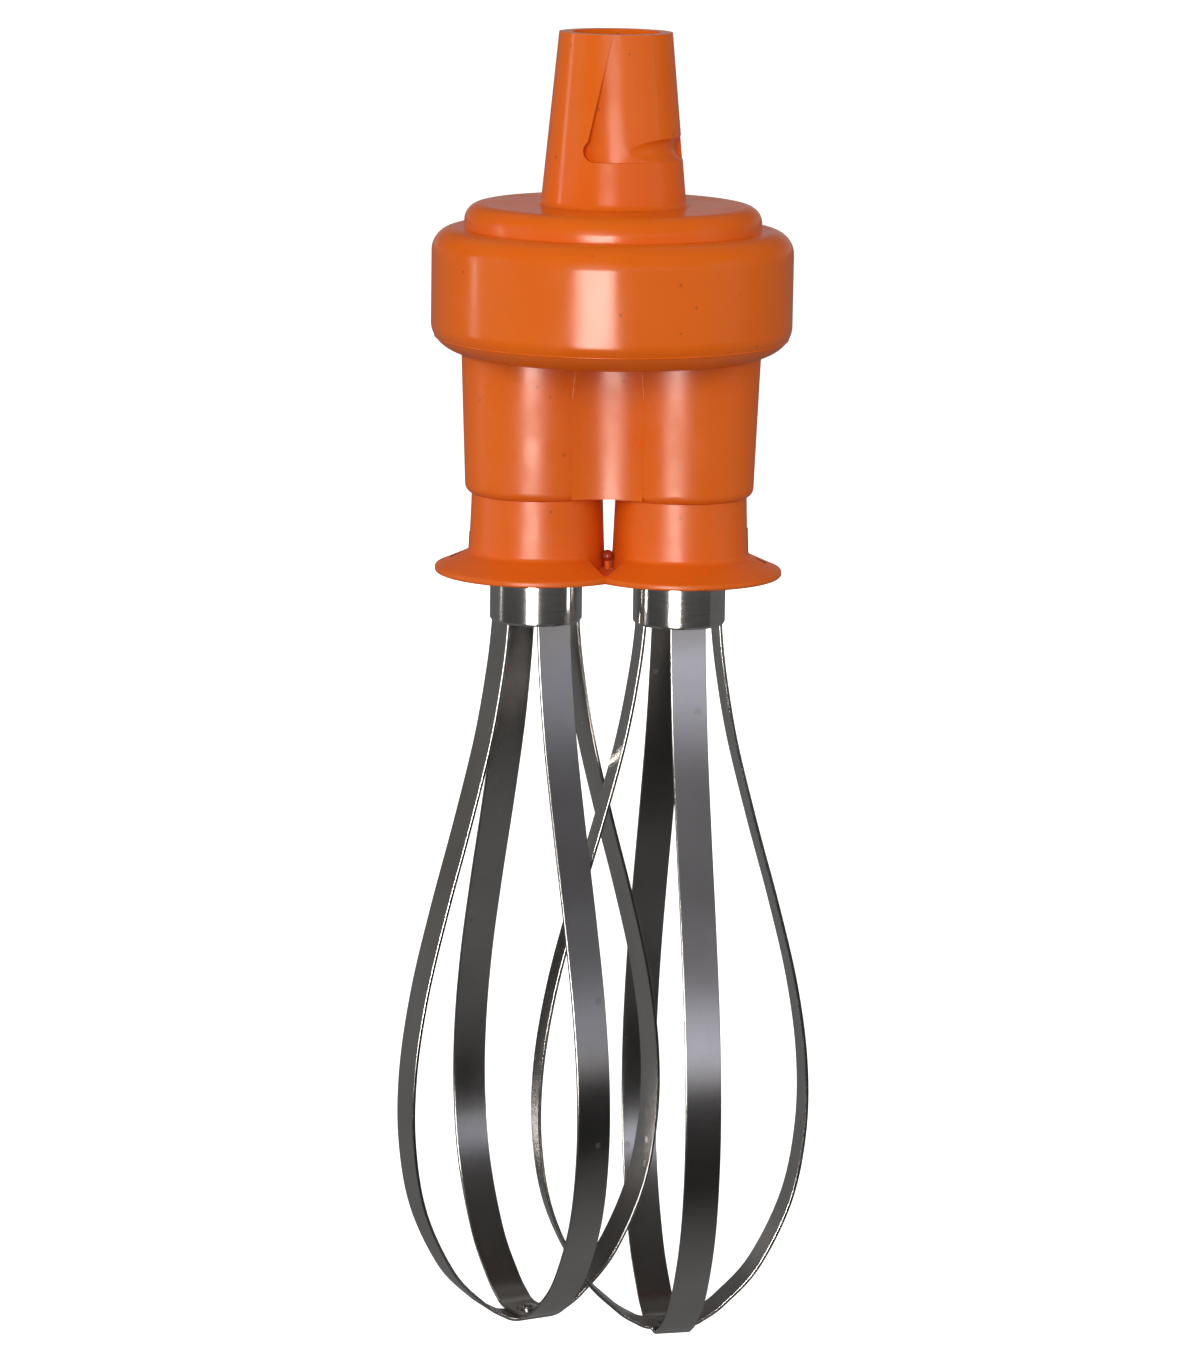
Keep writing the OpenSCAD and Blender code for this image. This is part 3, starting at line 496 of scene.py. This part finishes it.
def fill_specks(desk: Desk, given: bpy.types.Node, result: bpy.types.Node) -> None:
    """Scatters small round specks, most cells left empty.

    Args:
        desk: The group's node tree.
        given: The group's input node.
        result: The group's output node.
    """
    cells = desk.add("TexVoronoi")
    desk.join(given.outputs["Place"], cells.inputs["Vector"])
    desk.join(given.outputs["Scale"], cells.inputs["Scale"])
    near = desk.maths("LESS_THAN", cells.outputs["Distance"], given.outputs["Size"])
    pick = desk.add("SeparateXYZ")
    desk.join(cells.outputs["Color"], pick.inputs[0])
    some = desk.maths("LESS_THAN", pick.outputs[0], given.outputs["Share"])
    desk.join(desk.maths("MULTIPLY", near, some), result.inputs["Mask"])


def fill_marks(desk: Desk, given: bpy.types.Node, result: bpy.types.Node) -> None:
    """Draws fine marks that run along the first axis of the coordinates.

    Args:
        desk: The group's node tree.
        given: The group's input node.
        result: The group's output node.
    """
    stretch = desk.add("VectorMath", operation="MULTIPLY")
    desk.join(given.outputs["Place"], stretch.inputs[0])
    scales = desk.add("CombineXYZ")
    desk.join(given.outputs["Along"], scales.inputs[0])
    for axis in (1, 2):
        desk.join(given.outputs["Across"], scales.inputs[axis])
    desk.join(scales.outputs[0], stretch.inputs[1])
    noise = desk.add("TexNoise", Scale=1.0, Detail=5.0, Roughness=0.7)
    desk.join(stretch.outputs[0], noise.inputs["Vector"])
    desk.join(desk.span(noise.outputs[0], 0.25, 0.75), result.inputs["Mark"])


MOTTLE = Effect("mottle", {"Scale": 100.0, "Low": 0.0, "High": 1.0}, ("Level",), fill_mottle)
SPECKS = Effect("specks", {"Scale": 500.0, "Size": 0.2, "Share": 0.1}, ("Mask",), fill_specks)
MARKS = Effect("marks", {"Along": 10.0, "Across": 1000.0}, ("Mark",), fill_marks)


# Finishes


@dataclass(frozen=True)
class Finish:
    """What every finish shares: a name, a colour and how rough it is."""

    name: str
    colour: Colour
    rough: float

    def material(self) -> bpy.types.Material:
        """Builds the material once.

        Returns:
            The material.
        """
        if self.name in bpy.data.materials:
            return bpy.data.materials[self.name]
        material = bpy.data.materials.new(self.name)
        material.use_nodes = True
        desk = Desk(material.node_tree)
        desk.tree.nodes.clear()
        surface = desk.add("BsdfPrincipled")
        surface.inputs["Base Color"].default_value = rgba(self.colour)
        surface.inputs["Roughness"].default_value = self.rough
        desk.join(surface.outputs[0], desk.add("OutputMaterial").inputs[0])
        self.detail(desk, surface)
        return material

    def detail(self, desk: Desk, surface: bpy.types.Node) -> None:
        """Adds the finish's own detail."""

    def bump(self, desk: Desk, surface: bpy.types.Node, height: bpy.types.NodeSocket,
             depth: float) -> None:
        """Lets a height disturb the surface's normal.

        Args:
            desk: The material's node tree.
            surface: The shader.
            height: The height's socket, from 0 to 1.
            depth: How deep the relief is, in metres.
        """
        node = desk.add("Bump", Strength=1.0, Distance=depth)
        desk.join(height, node.inputs["Height"])
        desk.join(node.outputs[0], surface.inputs["Normal"])


@dataclass(frozen=True)
class GlossPlastic(Finish):
    """Moulded plastic with faint clouding and fine dust specks."""

    shade: Colour = (0.78, 0.112, 0.006)
    wave: float = 0.012 * MM
    sheen: float = 0.36
    cloud_share: float = 0.35
    dust: Colour = (0.16, 0.05, 0.02)
    dust_share: float = 0.35
    rough_from: float = 0.75
    rough_to: float = 1.3

    def detail(self, desk: Desk, surface: bpy.types.Node) -> None:
        """Adds clouding, specks and the faint waviness of a moulded skin."""
        place = desk.add("TexCoord").outputs["Object"]
        cloud = MOTTLE.use(desk, place, Scale=55.0).outputs["Level"]
        specks = SPECKS.use(desk, place, Scale=420.0, Size=0.13, Share=0.16).outputs["Mask"]
        tint = desk.blend(desk.maths("MULTIPLY", cloud, self.cloud_share), self.colour, self.shade)
        desk.join(desk.blend(desk.maths("MULTIPLY", specks, self.dust_share), tint, self.dust),
                  surface.inputs["Base Color"])
        rough = MOTTLE.use(desk, place, Scale=140.0, Low=self.rough * self.rough_from,
                           High=self.rough * self.rough_to)
        desk.join(rough.outputs["Level"], surface.inputs["Roughness"])
        surface.inputs["Specular IOR Level"].default_value = self.sheen
        swell = MOTTLE.use(desk, place, Scale=160.0).outputs["Level"]
        self.bump(desk, surface, swell, self.wave)


@dataclass(frozen=True)
class SatinPlastic(Finish):
    """Engineering plastic or rubber: satin, a little cloudy, finely grained."""

    grain: float = 0.02 * MM
    dimming: float = 0.82
    rough_from: float = 0.85
    rough_to: float = 1.15

    def detail(self, desk: Desk, surface: bpy.types.Node) -> None:
        """Adds clouding and a fine grain."""
        place = desk.add("TexCoord").outputs["Object"]
        cloud = MOTTLE.use(desk, place, Scale=120.0).outputs["Level"]
        dim = tuple(self.dimming * c for c in self.colour)
        desk.join(desk.blend(cloud, self.colour, dim), surface.inputs["Base Color"])
        rough = MOTTLE.use(desk, place, Scale=400.0, Low=self.rough * self.rough_from,
                           High=self.rough * self.rough_to)
        desk.join(rough.outputs["Level"], surface.inputs["Roughness"])
        grain = MOTTLE.use(desk, place, Scale=1800.0).outputs["Level"]
        self.bump(desk, surface, grain, self.grain)


@dataclass(frozen=True)
class TurnedMetal(Finish):
    """Metal turned or drawn about an upright axis, with fine rings."""

    axis_x: float = 0.0
    axis_y: float = 0.0
    rings: float = 4200.0
    stain: Colour = (0.42, 0.38, 0.34)
    stain_share: float = 0.25
    rough_from: float = 0.75
    rough_to: float = 1.35
    ring_depth: float = 0.0012 * MM

    def detail(self, desk: Desk, surface: bpy.types.Node) -> None:
        """Adds fine rings about the piece's own axis and a faint stain."""
        surface.inputs["Metallic"].default_value = 1.0
        place = desk.add("TexCoord").outputs["Object"]
        centred = desk.add("Mapping")
        centred.inputs["Location"].default_value = (-self.axis_x, -self.axis_y, 0)
        desk.join(place, centred.inputs[0])
        parts = desk.add("SeparateXYZ")
        desk.join(centred.outputs[0], parts.inputs[0])
        out = desk.maths("SQRT", desk.maths("ADD", desk.maths("POWER", parts.outputs[0], 2.0),
                                            desk.maths("POWER", parts.outputs[1], 2.0)))
        about = desk.maths("ARCTAN2", parts.outputs[1], parts.outputs[0])
        polar = desk.add("CombineXYZ")
        for socket, value in zip(polar.inputs, (about, out, parts.outputs[2])):
            desk.join(value, socket)
        marks = MARKS.use(desk, polar.outputs[0], Along=1.2, Across=self.rings).outputs["Mark"]
        cloud = MOTTLE.use(desk, place, Scale=210.0).outputs["Level"]
        stained = desk.maths("MULTIPLY", cloud, self.stain_share)
        desk.join(desk.blend(stained, self.colour, self.stain), surface.inputs["Base Color"])
        low, high = self.rough * self.rough_from, self.rough * self.rough_to
        desk.join(desk.span(marks, 0.0, 1.0, low, high), surface.inputs["Roughness"])
        self.bump(desk, surface, marks, self.ring_depth)


@dataclass(frozen=True)
class RolledStrip(Finish):
    """Rolled steel strip with lengthwise marks, water stains and small scratches."""

    stain: Colour = (0.40, 0.35, 0.31)
    cloud_share: float = 0.30
    spot_share: float = 0.25
    rough_base: float = 0.7
    rough_marks: float = 0.5
    rough_spots: float = 0.10
    mark_depth: float = 0.0015 * MM

    def detail(self, desk: Desk, surface: bpy.types.Node) -> None:
        """Adds lengthwise marks on the strip's own map, and stains on its place."""
        surface.inputs["Metallic"].default_value = 1.0
        flat = desk.add("UVMap", uv_map=StripLoop.MAP).outputs[0]
        place = desk.add("TexCoord").outputs["Object"]
        marks = MARKS.use(desk, flat, Along=18.0, Across=520.0).outputs["Mark"]
        cloud = MOTTLE.use(desk, place, Scale=70.0).outputs["Level"]
        spots = SPECKS.use(desk, place, Scale=260.0, Size=0.16, Share=0.10).outputs["Mask"]
        spotted = desk.maths("MULTIPLY", spots, self.spot_share)
        dull = desk.maths("MULTIPLY_ADD", cloud, self.cloud_share, spotted)
        desk.join(desk.blend(dull, self.colour, self.stain), surface.inputs["Base Color"])
        rough = desk.maths("MULTIPLY_ADD", marks, self.rough_marks * self.rough,
                           self.rough_base * self.rough)
        desk.join(desk.maths("MULTIPLY_ADD", spots, self.rough_spots, rough),
                  surface.inputs["Roughness"])
        self.bump(desk, surface, marks, self.mark_depth)


# Mesh helpers


def finished(name: str, bm: bmesh.types.BMesh, body: str,
             finish: Finish) -> bpy.types.Object:
    """Makes an object from a bmesh and gives it its body, slot and finish.

    Args:
        name: The piece's name.
        bm: The mesh, freed here.
        body: The CAD body that it rides on.
        finish: The finish.

    Returns:
        The new object.
    """
    mesh = bpy.data.meshes.new(name)
    for face in bm.faces:
        face.smooth = True
    bm.to_mesh(mesh)
    bm.free()
    mesh.materials.append(finish.material())
    piece = bpy.data.objects.new(name, mesh)
    bpy.context.scene.collection.objects.link(piece)
    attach(piece, body)
    return piece


def spun(profile: Iterable[Point], centre: Vector, steps: int = 96) -> bmesh.types.BMesh:
    """Spins a closed or axis-to-axis profile about an upright line.

    Args:
        profile: Points as radius and height, in order.
        centre: Where the line stands.
        steps: Faces round the full turn.

    Returns:
        The mesh, with its faces pointing outwards.
    """
    bm = bmesh.new()
    points = [bm.verts.new((centre.x + r, centre.y, centre.z + z)) for r, z in profile]
    edges = [bm.edges.new(pair) for pair in zip(points, points[1:])]
    bmesh.ops.spin(bm, geom=points + edges, cent=centre, axis=(0, 0, 1), angle=math.tau,
                   steps=steps, use_merge=True)
    bmesh.ops.remove_doubles(bm, verts=bm.verts, dist=MERGE)
    bmesh.ops.recalc_face_normals(bm, faces=bm.faces)
    return bm


# The whisks


class Side(Enum):
    """The two whisks, by the sign of their axis."""

    LEFT = -1
    RIGHT = 1

    @property
    def body(self) -> str:
        """The CAD body of this whisk."""
        return f"{self.name.lower()}_whisk"


@dataclass
class StripLoop:
    """One loop of strip: up one side into the cup, across the foot and up the other.

    The half line gives how far the strip's middle stands out from its place in the cup,
    and how far it lies under the cup's top, in millimetres. It ends where the flat foot
    begins.
    """

    name: str
    axis: Vector
    azimuth: float
    short: float
    bed: float
    body: str
    cup_top: float
    seat_r: float = 6.4 * MM
    wide: float = 6.1 * MM
    thick: float = 0.6 * MM
    edge: float = 0.16 * MM
    steps: int = 7
    across: int = 6
    MAP = "strip"
    HALF = ((0, -1.4), (0, -10), (0.1, -14), (1, -22), (3.2, -34), (7, -48.5), (11.15, -63),
            (14.65, -77), (16.7, -90.5), (16.8, -103), (14.55, -115.5), (9.1, -127),
            (3.2, -133.4), (-0.3, -135.9), (-3.2, -137.05))

    def knot(self, index: int) -> Vector:
        """Gives one point of the middle line, as radius and height.

        Args:
            index: The point's place in the half line; past its end, the mirrored foot.

        Returns:
            The point, in metres, from the whisk's axis and the motor face.
        """
        last = len(self.HALF) - 1
        out, down = (v * MM for v in self.HALF[max(0, min(last, index))])
        way = down / (self.HALF[last][1] * MM)
        side = -1 if index > last else 1
        return Vector((side * (self.seat_r + out),
                       self.cup_top + down + (self.short + self.bed) * way * way))

    def middle_line(self) -> list[Vector]:
        """Smooths the middle line through its points, from one cup end to the other.

        Returns:
            The points, as radius and height.
        """
        half = []
        for i in range(len(self.HALF) - 1):
            a, b, c, d = (self.knot(i + k) for k in (-1, 0, 1, 2))
            for step in range(self.steps):
                t = step / self.steps
                half.append(0.5 * (2 * b + (c - a) * t + (2 * a - 5 * b + 4 * c - d) * t ** 2
                                   + (3 * b - a - 3 * c + d) * t ** 3))
        half.append(self.knot(len(self.HALF) - 1))
        return half + [Vector((-p.x, p.y)) for p in reversed(half)]

    def build(self, finish: Finish) -> bpy.types.Object:
        """Lays a flat sheet along the middle line, thickens it and rounds its edges.

        Args:
            finish: The steel's finish.

        Returns:
            The strip's object.
        """
        line = self.middle_line()
        bm = bmesh.new()
        bm.loops.layers.uv.new(self.MAP)
        bmesh.ops.create_grid(bm, x_segments=len(line) - 1, y_segments=self.across, size=1.0,
                              calc_uvs=True)
        turn = Matrix.Rotation(math.radians(self.azimuth), 3, "Z")
        for vert in bm.verts:
            place = line[round((vert.co.x + 1) / 2 * (len(line) - 1))]
            vert.co = self.axis + turn @ Vector((place.x, vert.co.y * self.wide / 2, place.y))
        piece = finished(self.name, bm, self.body, finish)
        wall = piece.modifiers.new("wall", "SOLIDIFY")
        wall.thickness, wall.offset = self.thick, 0.0
        rounding = piece.modifiers.new("edge", "BEVEL")
        rounding.width, rounding.segments, rounding.limit_method = self.edge, 3, "ANGLE"
        rounding.angle_limit = math.radians(50)
        rounding.harden_normals = True
        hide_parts(self.name.replace("strip", "loop"))
        return piece


@dataclass(frozen=True)
class Rivet:
    """A rivet through the crossed strips: a dished disc with a dome above, and a tail below."""

    dome_r: float = 0.95 * MM
    dome_high: float = 0.5 * MM
    disc_r: float = 1.75 * MM
    disc: float = 0.22 * MM
    rim_soft: float = 0.08 * MM
    rim_lean: float = 0.05 * MM
    dish_rim: float = 0.35 * MM
    dish_gap: float = 0.1 * MM
    dish_deep: float = 0.06 * MM
    neck_r: float = 0.8 * MM
    neck: float = 0.3 * MM
    tail_high: float = 0.45 * MM
    steps: int = 8

    def profile(self, low: float, high: float) -> list[Point]:
        """Draws half of the rivet's section.

        Args:
            low: The tail's lowest height.
            high: The head's highest height.

        Returns:
            Points as radius and height, from the tail's middle to the head's.
        """
        base = high - self.disc - self.dome_high
        top = base + self.disc
        turns = [math.radians(90 * k / self.steps) for k in range(self.steps + 1)]
        tail = [(self.dome_r * math.sin(a), low + self.tail_high * (1 - math.cos(a))) for a in turns]
        head = [(self.dome_r * math.cos(a), top + self.dome_high * math.sin(a)) for a in turns]
        return tail + [(self.neck_r, base - self.neck), (self.neck_r, base),
                       (self.disc_r - self.rim_soft, base), (self.disc_r, base + self.rim_soft),
                       (self.disc_r - self.rim_lean, top), (self.disc_r - self.dish_rim, top),
                       (self.dome_r + self.dish_gap, top - self.dish_deep)] + head


@dataclass
class Whisk:
    """One whisk: two crossing strip loops, their rivet, the cup, the core and the shaft."""

    side: Side
    turn: float
    short: float
    inner_first: bool
    bed: float = 0.6 * MM
    axis: Vector = field(init=False)
    names: str = field(init=False)

    def __post_init__(self) -> None:
        """Works out the whisk's axis and the start of its pieces' names."""
        self.axis = Vector((self.side.value * AXIS_GAP / 2, 0, 0))
        self.names = self.side.name.lower()

    def loops(self, finish: Finish) -> list[bpy.types.Object]:
        """Builds the inner and the outer loop.

        Args:
            finish: The steel's finish.

        Returns:
            The two strips' objects.
        """
        cup_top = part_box(f"{self.names}_cup")[1].z
        inner = self.turn - 90 if self.inner_first else self.turn
        outer = self.turn if self.inner_first else self.turn - 90
        made = []
        for layer, azimuth, bed in (("inner", inner, self.bed), ("outer", outer, 0.0)):
            made.append(StripLoop(f"{self.names}_{layer}_strip", self.axis, azimuth, self.short,
                                  bed, self.side.body, cup_top).build(finish))
        return made

    def rivet(self, finish: Finish) -> bpy.types.Object:
        """Spins the rivet where the CAD's is.

        Args:
            finish: The rivet's finish.

        Returns:
            The rivet's object.
        """
        low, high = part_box(f"{self.names}_rivet")
        profile = Rivet().profile(low.z, high.z)
        bm = spun(profile, self.axis, 48)
        piece = finished(f"{self.names}_rivet_head", bm, self.side.body, finish)
        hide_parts(f"{self.names}_rivet")
        return piece


# The housing


@dataclass(frozen=True)
class Underside:
    """The collar's underside, which the photograph shows higher and flatter than the solids.

    Vertices of the collar's rounded edge, its underside and the lobes' outer walls move up by
    a rule of their place alone, so that pieces which meet there still meet. The hollow inside
    stays as it is.
    """

    bend_z: float = -19.8 * MM
    collar_low: float = -26.3 * MM
    lobe_low: float = -49.0 * MM
    margin: float = 0.1 * MM
    bore_r: float = 27.3 * MM
    floor_z: float = -24.2 * MM
    lobe_skin_r: float = 10.8 * MM
    collar_lift: float = 1.55 * MM
    lobe_lift: float = 0.6 * MM

    @property
    def squeeze(self) -> float:
        """How much lower the collar's rounded edge becomes."""
        return 1 - self.collar_lift / (self.bend_z - self.collar_low)

    def moved(self, place: Vector) -> tuple[Vector, float]:
        """Moves one vertex.

        Args:
            place: The vertex.

        Returns:
            Its new place, and how much heights are squeezed there.
        """
        out = math.hypot(place.x, place.y)
        outside = out > self.bore_r or place.z < self.floor_z
        if self.collar_low <= place.z < self.bend_z and outside:
            height = self.bend_z + (place.z - self.bend_z) * self.squeeze
            return Vector((place.x, place.y, height)), self.squeeze
        skin = min(math.hypot(place.x - side.value * AXIS_GAP / 2, place.y) for side in Side)
        if self.lobe_low - self.margin < place.z < self.collar_low and skin > self.lobe_skin_r:
            share = (self.collar_low - place.z) / (self.collar_low - self.lobe_low)
            lift = self.collar_lift + (self.lobe_lift - self.collar_lift) * share
            return Vector((place.x, place.y, place.z + lift)), 1.0
        return place.copy(), 1.0

    def reshape(self, node: str, name: str, body: str, slot: str,
                finish: Finish) -> bpy.types.Object:
        """Makes a reshaped copy of a CAD node's mesh that replaces it.

        Args:
            node: The CAD node's name.
            name: The new piece's name.
            body: The CAD body that it rides on.
            slot: Not used.
            finish: The finish.

        Returns:
            The new piece.
        """
        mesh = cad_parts[node].data.copy()
        mesh.name = name
        normals = [Vector(corner.vector) for corner in mesh.corner_normals]
        places = [self.moved(vert.co) for vert in mesh.vertices]
        for vert, (place, _) in zip(mesh.vertices, places):
            vert.co = place
        for loop in mesh.loops:
            normal = normals[loop.index]
            normal.z /= places[loop.vertex_index][1]
            normal.normalize()
        mesh.normals_split_custom_set(normals)
        mesh.materials.clear()
        mesh.materials.append(finish.material())
        piece = bpy.data.objects.new(name, mesh)
        bpy.context.scene.collection.objects.link(piece)
        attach(piece, body)
        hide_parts(node)
        return piece


@dataclass
class Housing:
    """The two orange mouldings and the small pieces that are seen on them."""

    underside: Underside = field(default_factory=Underside)
    seam_z: float = -22.6 * MM
    sweep: float = 6.5 * MM
    bead: float = 0.12 * MM
    stud: Vector = field(default_factory=lambda: Vector((0, -3, -58.35)) * MM)
    stud_r: float = 1.0 * MM
    # Sizes of the thin near-black sheet that paints the shadow line along each sleeve.
    slit_wide: float = 0.34 * MM
    slit_proud: float = 0.03 * MM
    slit_wall: float = 0.2 * MM
    slit_foot: Sequence[Point] = ((11.33, -58.0), (11.45, -58.3), (11.75, -58.6), (14.4, -59.62))

    def mouldings(self) -> list[bpy.types.Object]:
        """Builds the mouldings and what reaches down to the collar's underside.

        Returns:
            The pieces.
        """
        parts = (("upper_housing", "upper_moulding", "housing", "orange"),
                 ("lower_housing", "lower_moulding", "housing", "orange"),
                 ("housing_screws", "housing_screw_set", "housing", "screw_steel"),
                 ("lay_bushes", "lay_bush_pair", "housing", "bronze"),
                 ("lay_shaft", "lay_spindle", "lay_line", "screw_steel"))
        return [self.underside.reshape(*part, finish_for(part[0])) for part in parts]

    def seam(self, finish: Finish) -> bpy.types.Object:
        """Lays the fine bead that shows where the two mouldings meet.

        Args:
            finish: The plastic's finish.

        Returns:
            The bead's object.
        """
        low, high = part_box("upper_housing")
        bend = Vector(((high.x - low.x) / 2 - self.sweep, self.underside.bend_z))
        radius = bend.x + math.sqrt(self.sweep ** 2 - (self.seam_z - bend.y) ** 2)
        height = self.underside.moved(Vector((radius, 0, self.seam_z)))[0].z
        ring = [(radius + self.bead * math.cos(a), height + self.bead * math.sin(a))
                for a in (math.radians(30 * k) for k in range(13))]
        return finished("seam_bead", spun(ring, Vector(), 192), "housing", finish)

    def stud_head(self, finish: Finish) -> bpy.types.Object:
        """Spins the round head of the stud between the sleeves.

        Args:
            finish: The head's finish, a darker orange with the shade between the sleeves painted in.

        Returns:
            The head's object.
        """
        ball = [(self.stud_r * math.sin(a), -self.stud_r * math.cos(a))
                for a in (math.radians(180 * k / 16) for k in range(17))]
        return finished("stud_head", spun(ball, self.stud, 32), "housing", finish)

    def slit(self, side: Side, top: Point, finish: Finish) -> bpy.types.Object:
        """Lays a thin near-black sheet, a painted shadow line, down a sleeve's outer side and out on
        its flange.

        Args:
            side: Which sleeve.
            top: Where it starts: distance from the whisk's axis and height, in millimetres.
            finish: The painted shadow's finish.

        Returns:
            The painted shadow's object.
        """
        bm = bmesh.new()
        rows = []
        for out, height in (top, *self.slit_foot):
            x = side.value * (AXIS_GAP / 2 + out * MM + self.slit_proud)
            rows.append([bm.verts.new((x, way * self.slit_wide / 2, height * MM + self.slit_proud))
                         for way in (-side.value, side.value)])
        for above, below in zip(rows, rows[1:]):
            bm.faces.new((above[0], below[0], below[1], above[1]))
        bmesh.ops.recalc_face_normals(bm, faces=bm.faces)
        piece = finished(f"{side.name.lower()}_sleeve_slit", bm, "housing", finish)
        wall = piece.modifiers.new("wall", "SOLIDIFY")
        wall.thickness, wall.offset = self.slit_wall, 0.0
        return piece


# Dressing the CAD nodes

ORANGE = GlossPlastic("orange_gloss", (0.84, 0.150, 0.007), 0.20)
ORANGE_BODY = GlossPlastic("orange_body", (0.84, 0.148, 0.007), 0.34)
# Painted shade: the stud is the housing's orange, darkened here to stand in for the shade between the
# sleeves.
SHADED_STUD = SatinPlastic("stud_painted_shade", (0.42, 0.045, 0.008), 0.30)
# Painted shadow: a near-black finish for the thin sheets that stand in for the shade line along the
# sleeves.
SHADOW_LINE_PAINT = SatinPlastic("slit_shadow", (0.09, 0.012, 0.006), 0.5)
STEEL: Colour = (0.60, 0.59, 0.58)
CUP_STEEL: Colour = (0.70, 0.68, 0.66)
BRONZE = TurnedMetal("sintered_bronze", (0.55, 0.33, 0.14), 0.34, rings=900.0)
STRIP = RolledStrip("strip_steel_rolled", (0.66, 0.635, 0.61), 0.19)
RIVET = TurnedMetal("rivet_steel", (0.74, 0.72, 0.70), 0.16)
NYLON = SatinPlastic("nylon_natural", (0.78, 0.75, 0.68), 0.42)
DARK = SatinPlastic("dark_moulding", (0.03, 0.03, 0.032), 0.38)
RUBBER = SatinPlastic("black_rubber", (0.018, 0.018, 0.019), 0.62)


def turned(name: str, colour: Colour, rough: float, node: str) -> TurnedMetal:
    """Makes a turned finish whose rings run about a node's own middle.

    Args:
        name: The finish's name.
        colour: The metal's colour.
        rough: Its roughness.
        node: The CAD node.

    Returns:
        The finish.
    """
    low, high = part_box(node)
    return TurnedMetal(f"{name}_{node}", colour, rough, (low.x + high.x) / 2, (low.y + high.y) / 2)


def finish_for(node: str) -> Finish:
    """Chooses the finish of a CAD node that stays in view or inside.

    Args:
        node: The node's name.

    Returns:
        Its finish.
    """
    if node == "upper_housing":
        return ORANGE
    if node == "lower_housing":
        return ORANGE_BODY
    if node.endswith("_cup"):
        return turned("drawn_steel", CUP_STEEL, 0.13, node)
    if node.endswith("_seal") or node in ("seam_ring", "shaft_seals"):
        return RUBBER
    if node.endswith(("bush", "bushes", "washers")):
        return BRONZE
    if node in ("bearing_plate", "lay_gear", "left_gear", "right_gear", "drive_coupling"):
        return NYLON
    if node.endswith("_core"):
        return DARK
    return turned("turned_steel", STEEL, 0.24, node)


def dress(nodes: dict[str, bpy.types.Object]) -> None:
    """Gives every CAD node its finish.

    Args:
        nodes: The CAD nodes' objects by name.
    """
    for name, piece in nodes.items():
        material = finish_for(name).material()
        if not piece.material_slots:
            piece.data.materials.append(material)
        for slot in piece.material_slots:
            slot.material = material


def main() -> None:
    """Builds the studio, then each sub-assembly in order."""
    logging.basicConfig(level=logging.INFO, format="%(name)s: %(message)s")
    Studio().build()
    log.info("studio: camera, room, floor and lights")
    dress(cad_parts)
    log.info("dressed %d nodes", len(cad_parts))
    housing = Housing()
    for piece in (*housing.mouldings(), housing.seam(ORANGE), housing.stud_head(SHADED_STUD),
                  housing.slit(Side.LEFT, (11.2, -55.2), SHADOW_LINE_PAINT),
                  housing.slit(Side.RIGHT, (11.14, -53.7), SHADOW_LINE_PAINT)):
        log.info("housing: %s", piece.name)
    left = Whisk(Side.LEFT, 30.0, 1.6 * MM, True)
    right = Whisk(Side.RIGHT, 15.0, 0.0, False)
    for whisk in (left, right):
        for piece in (*whisk.loops(STRIP), whisk.rivet(RIVET)):
            log.info("%s whisk: %s", whisk.side.name.lower(), piece.name)


if __name__ == "__main__":
    main()
    bpy.context.view_layer.update()
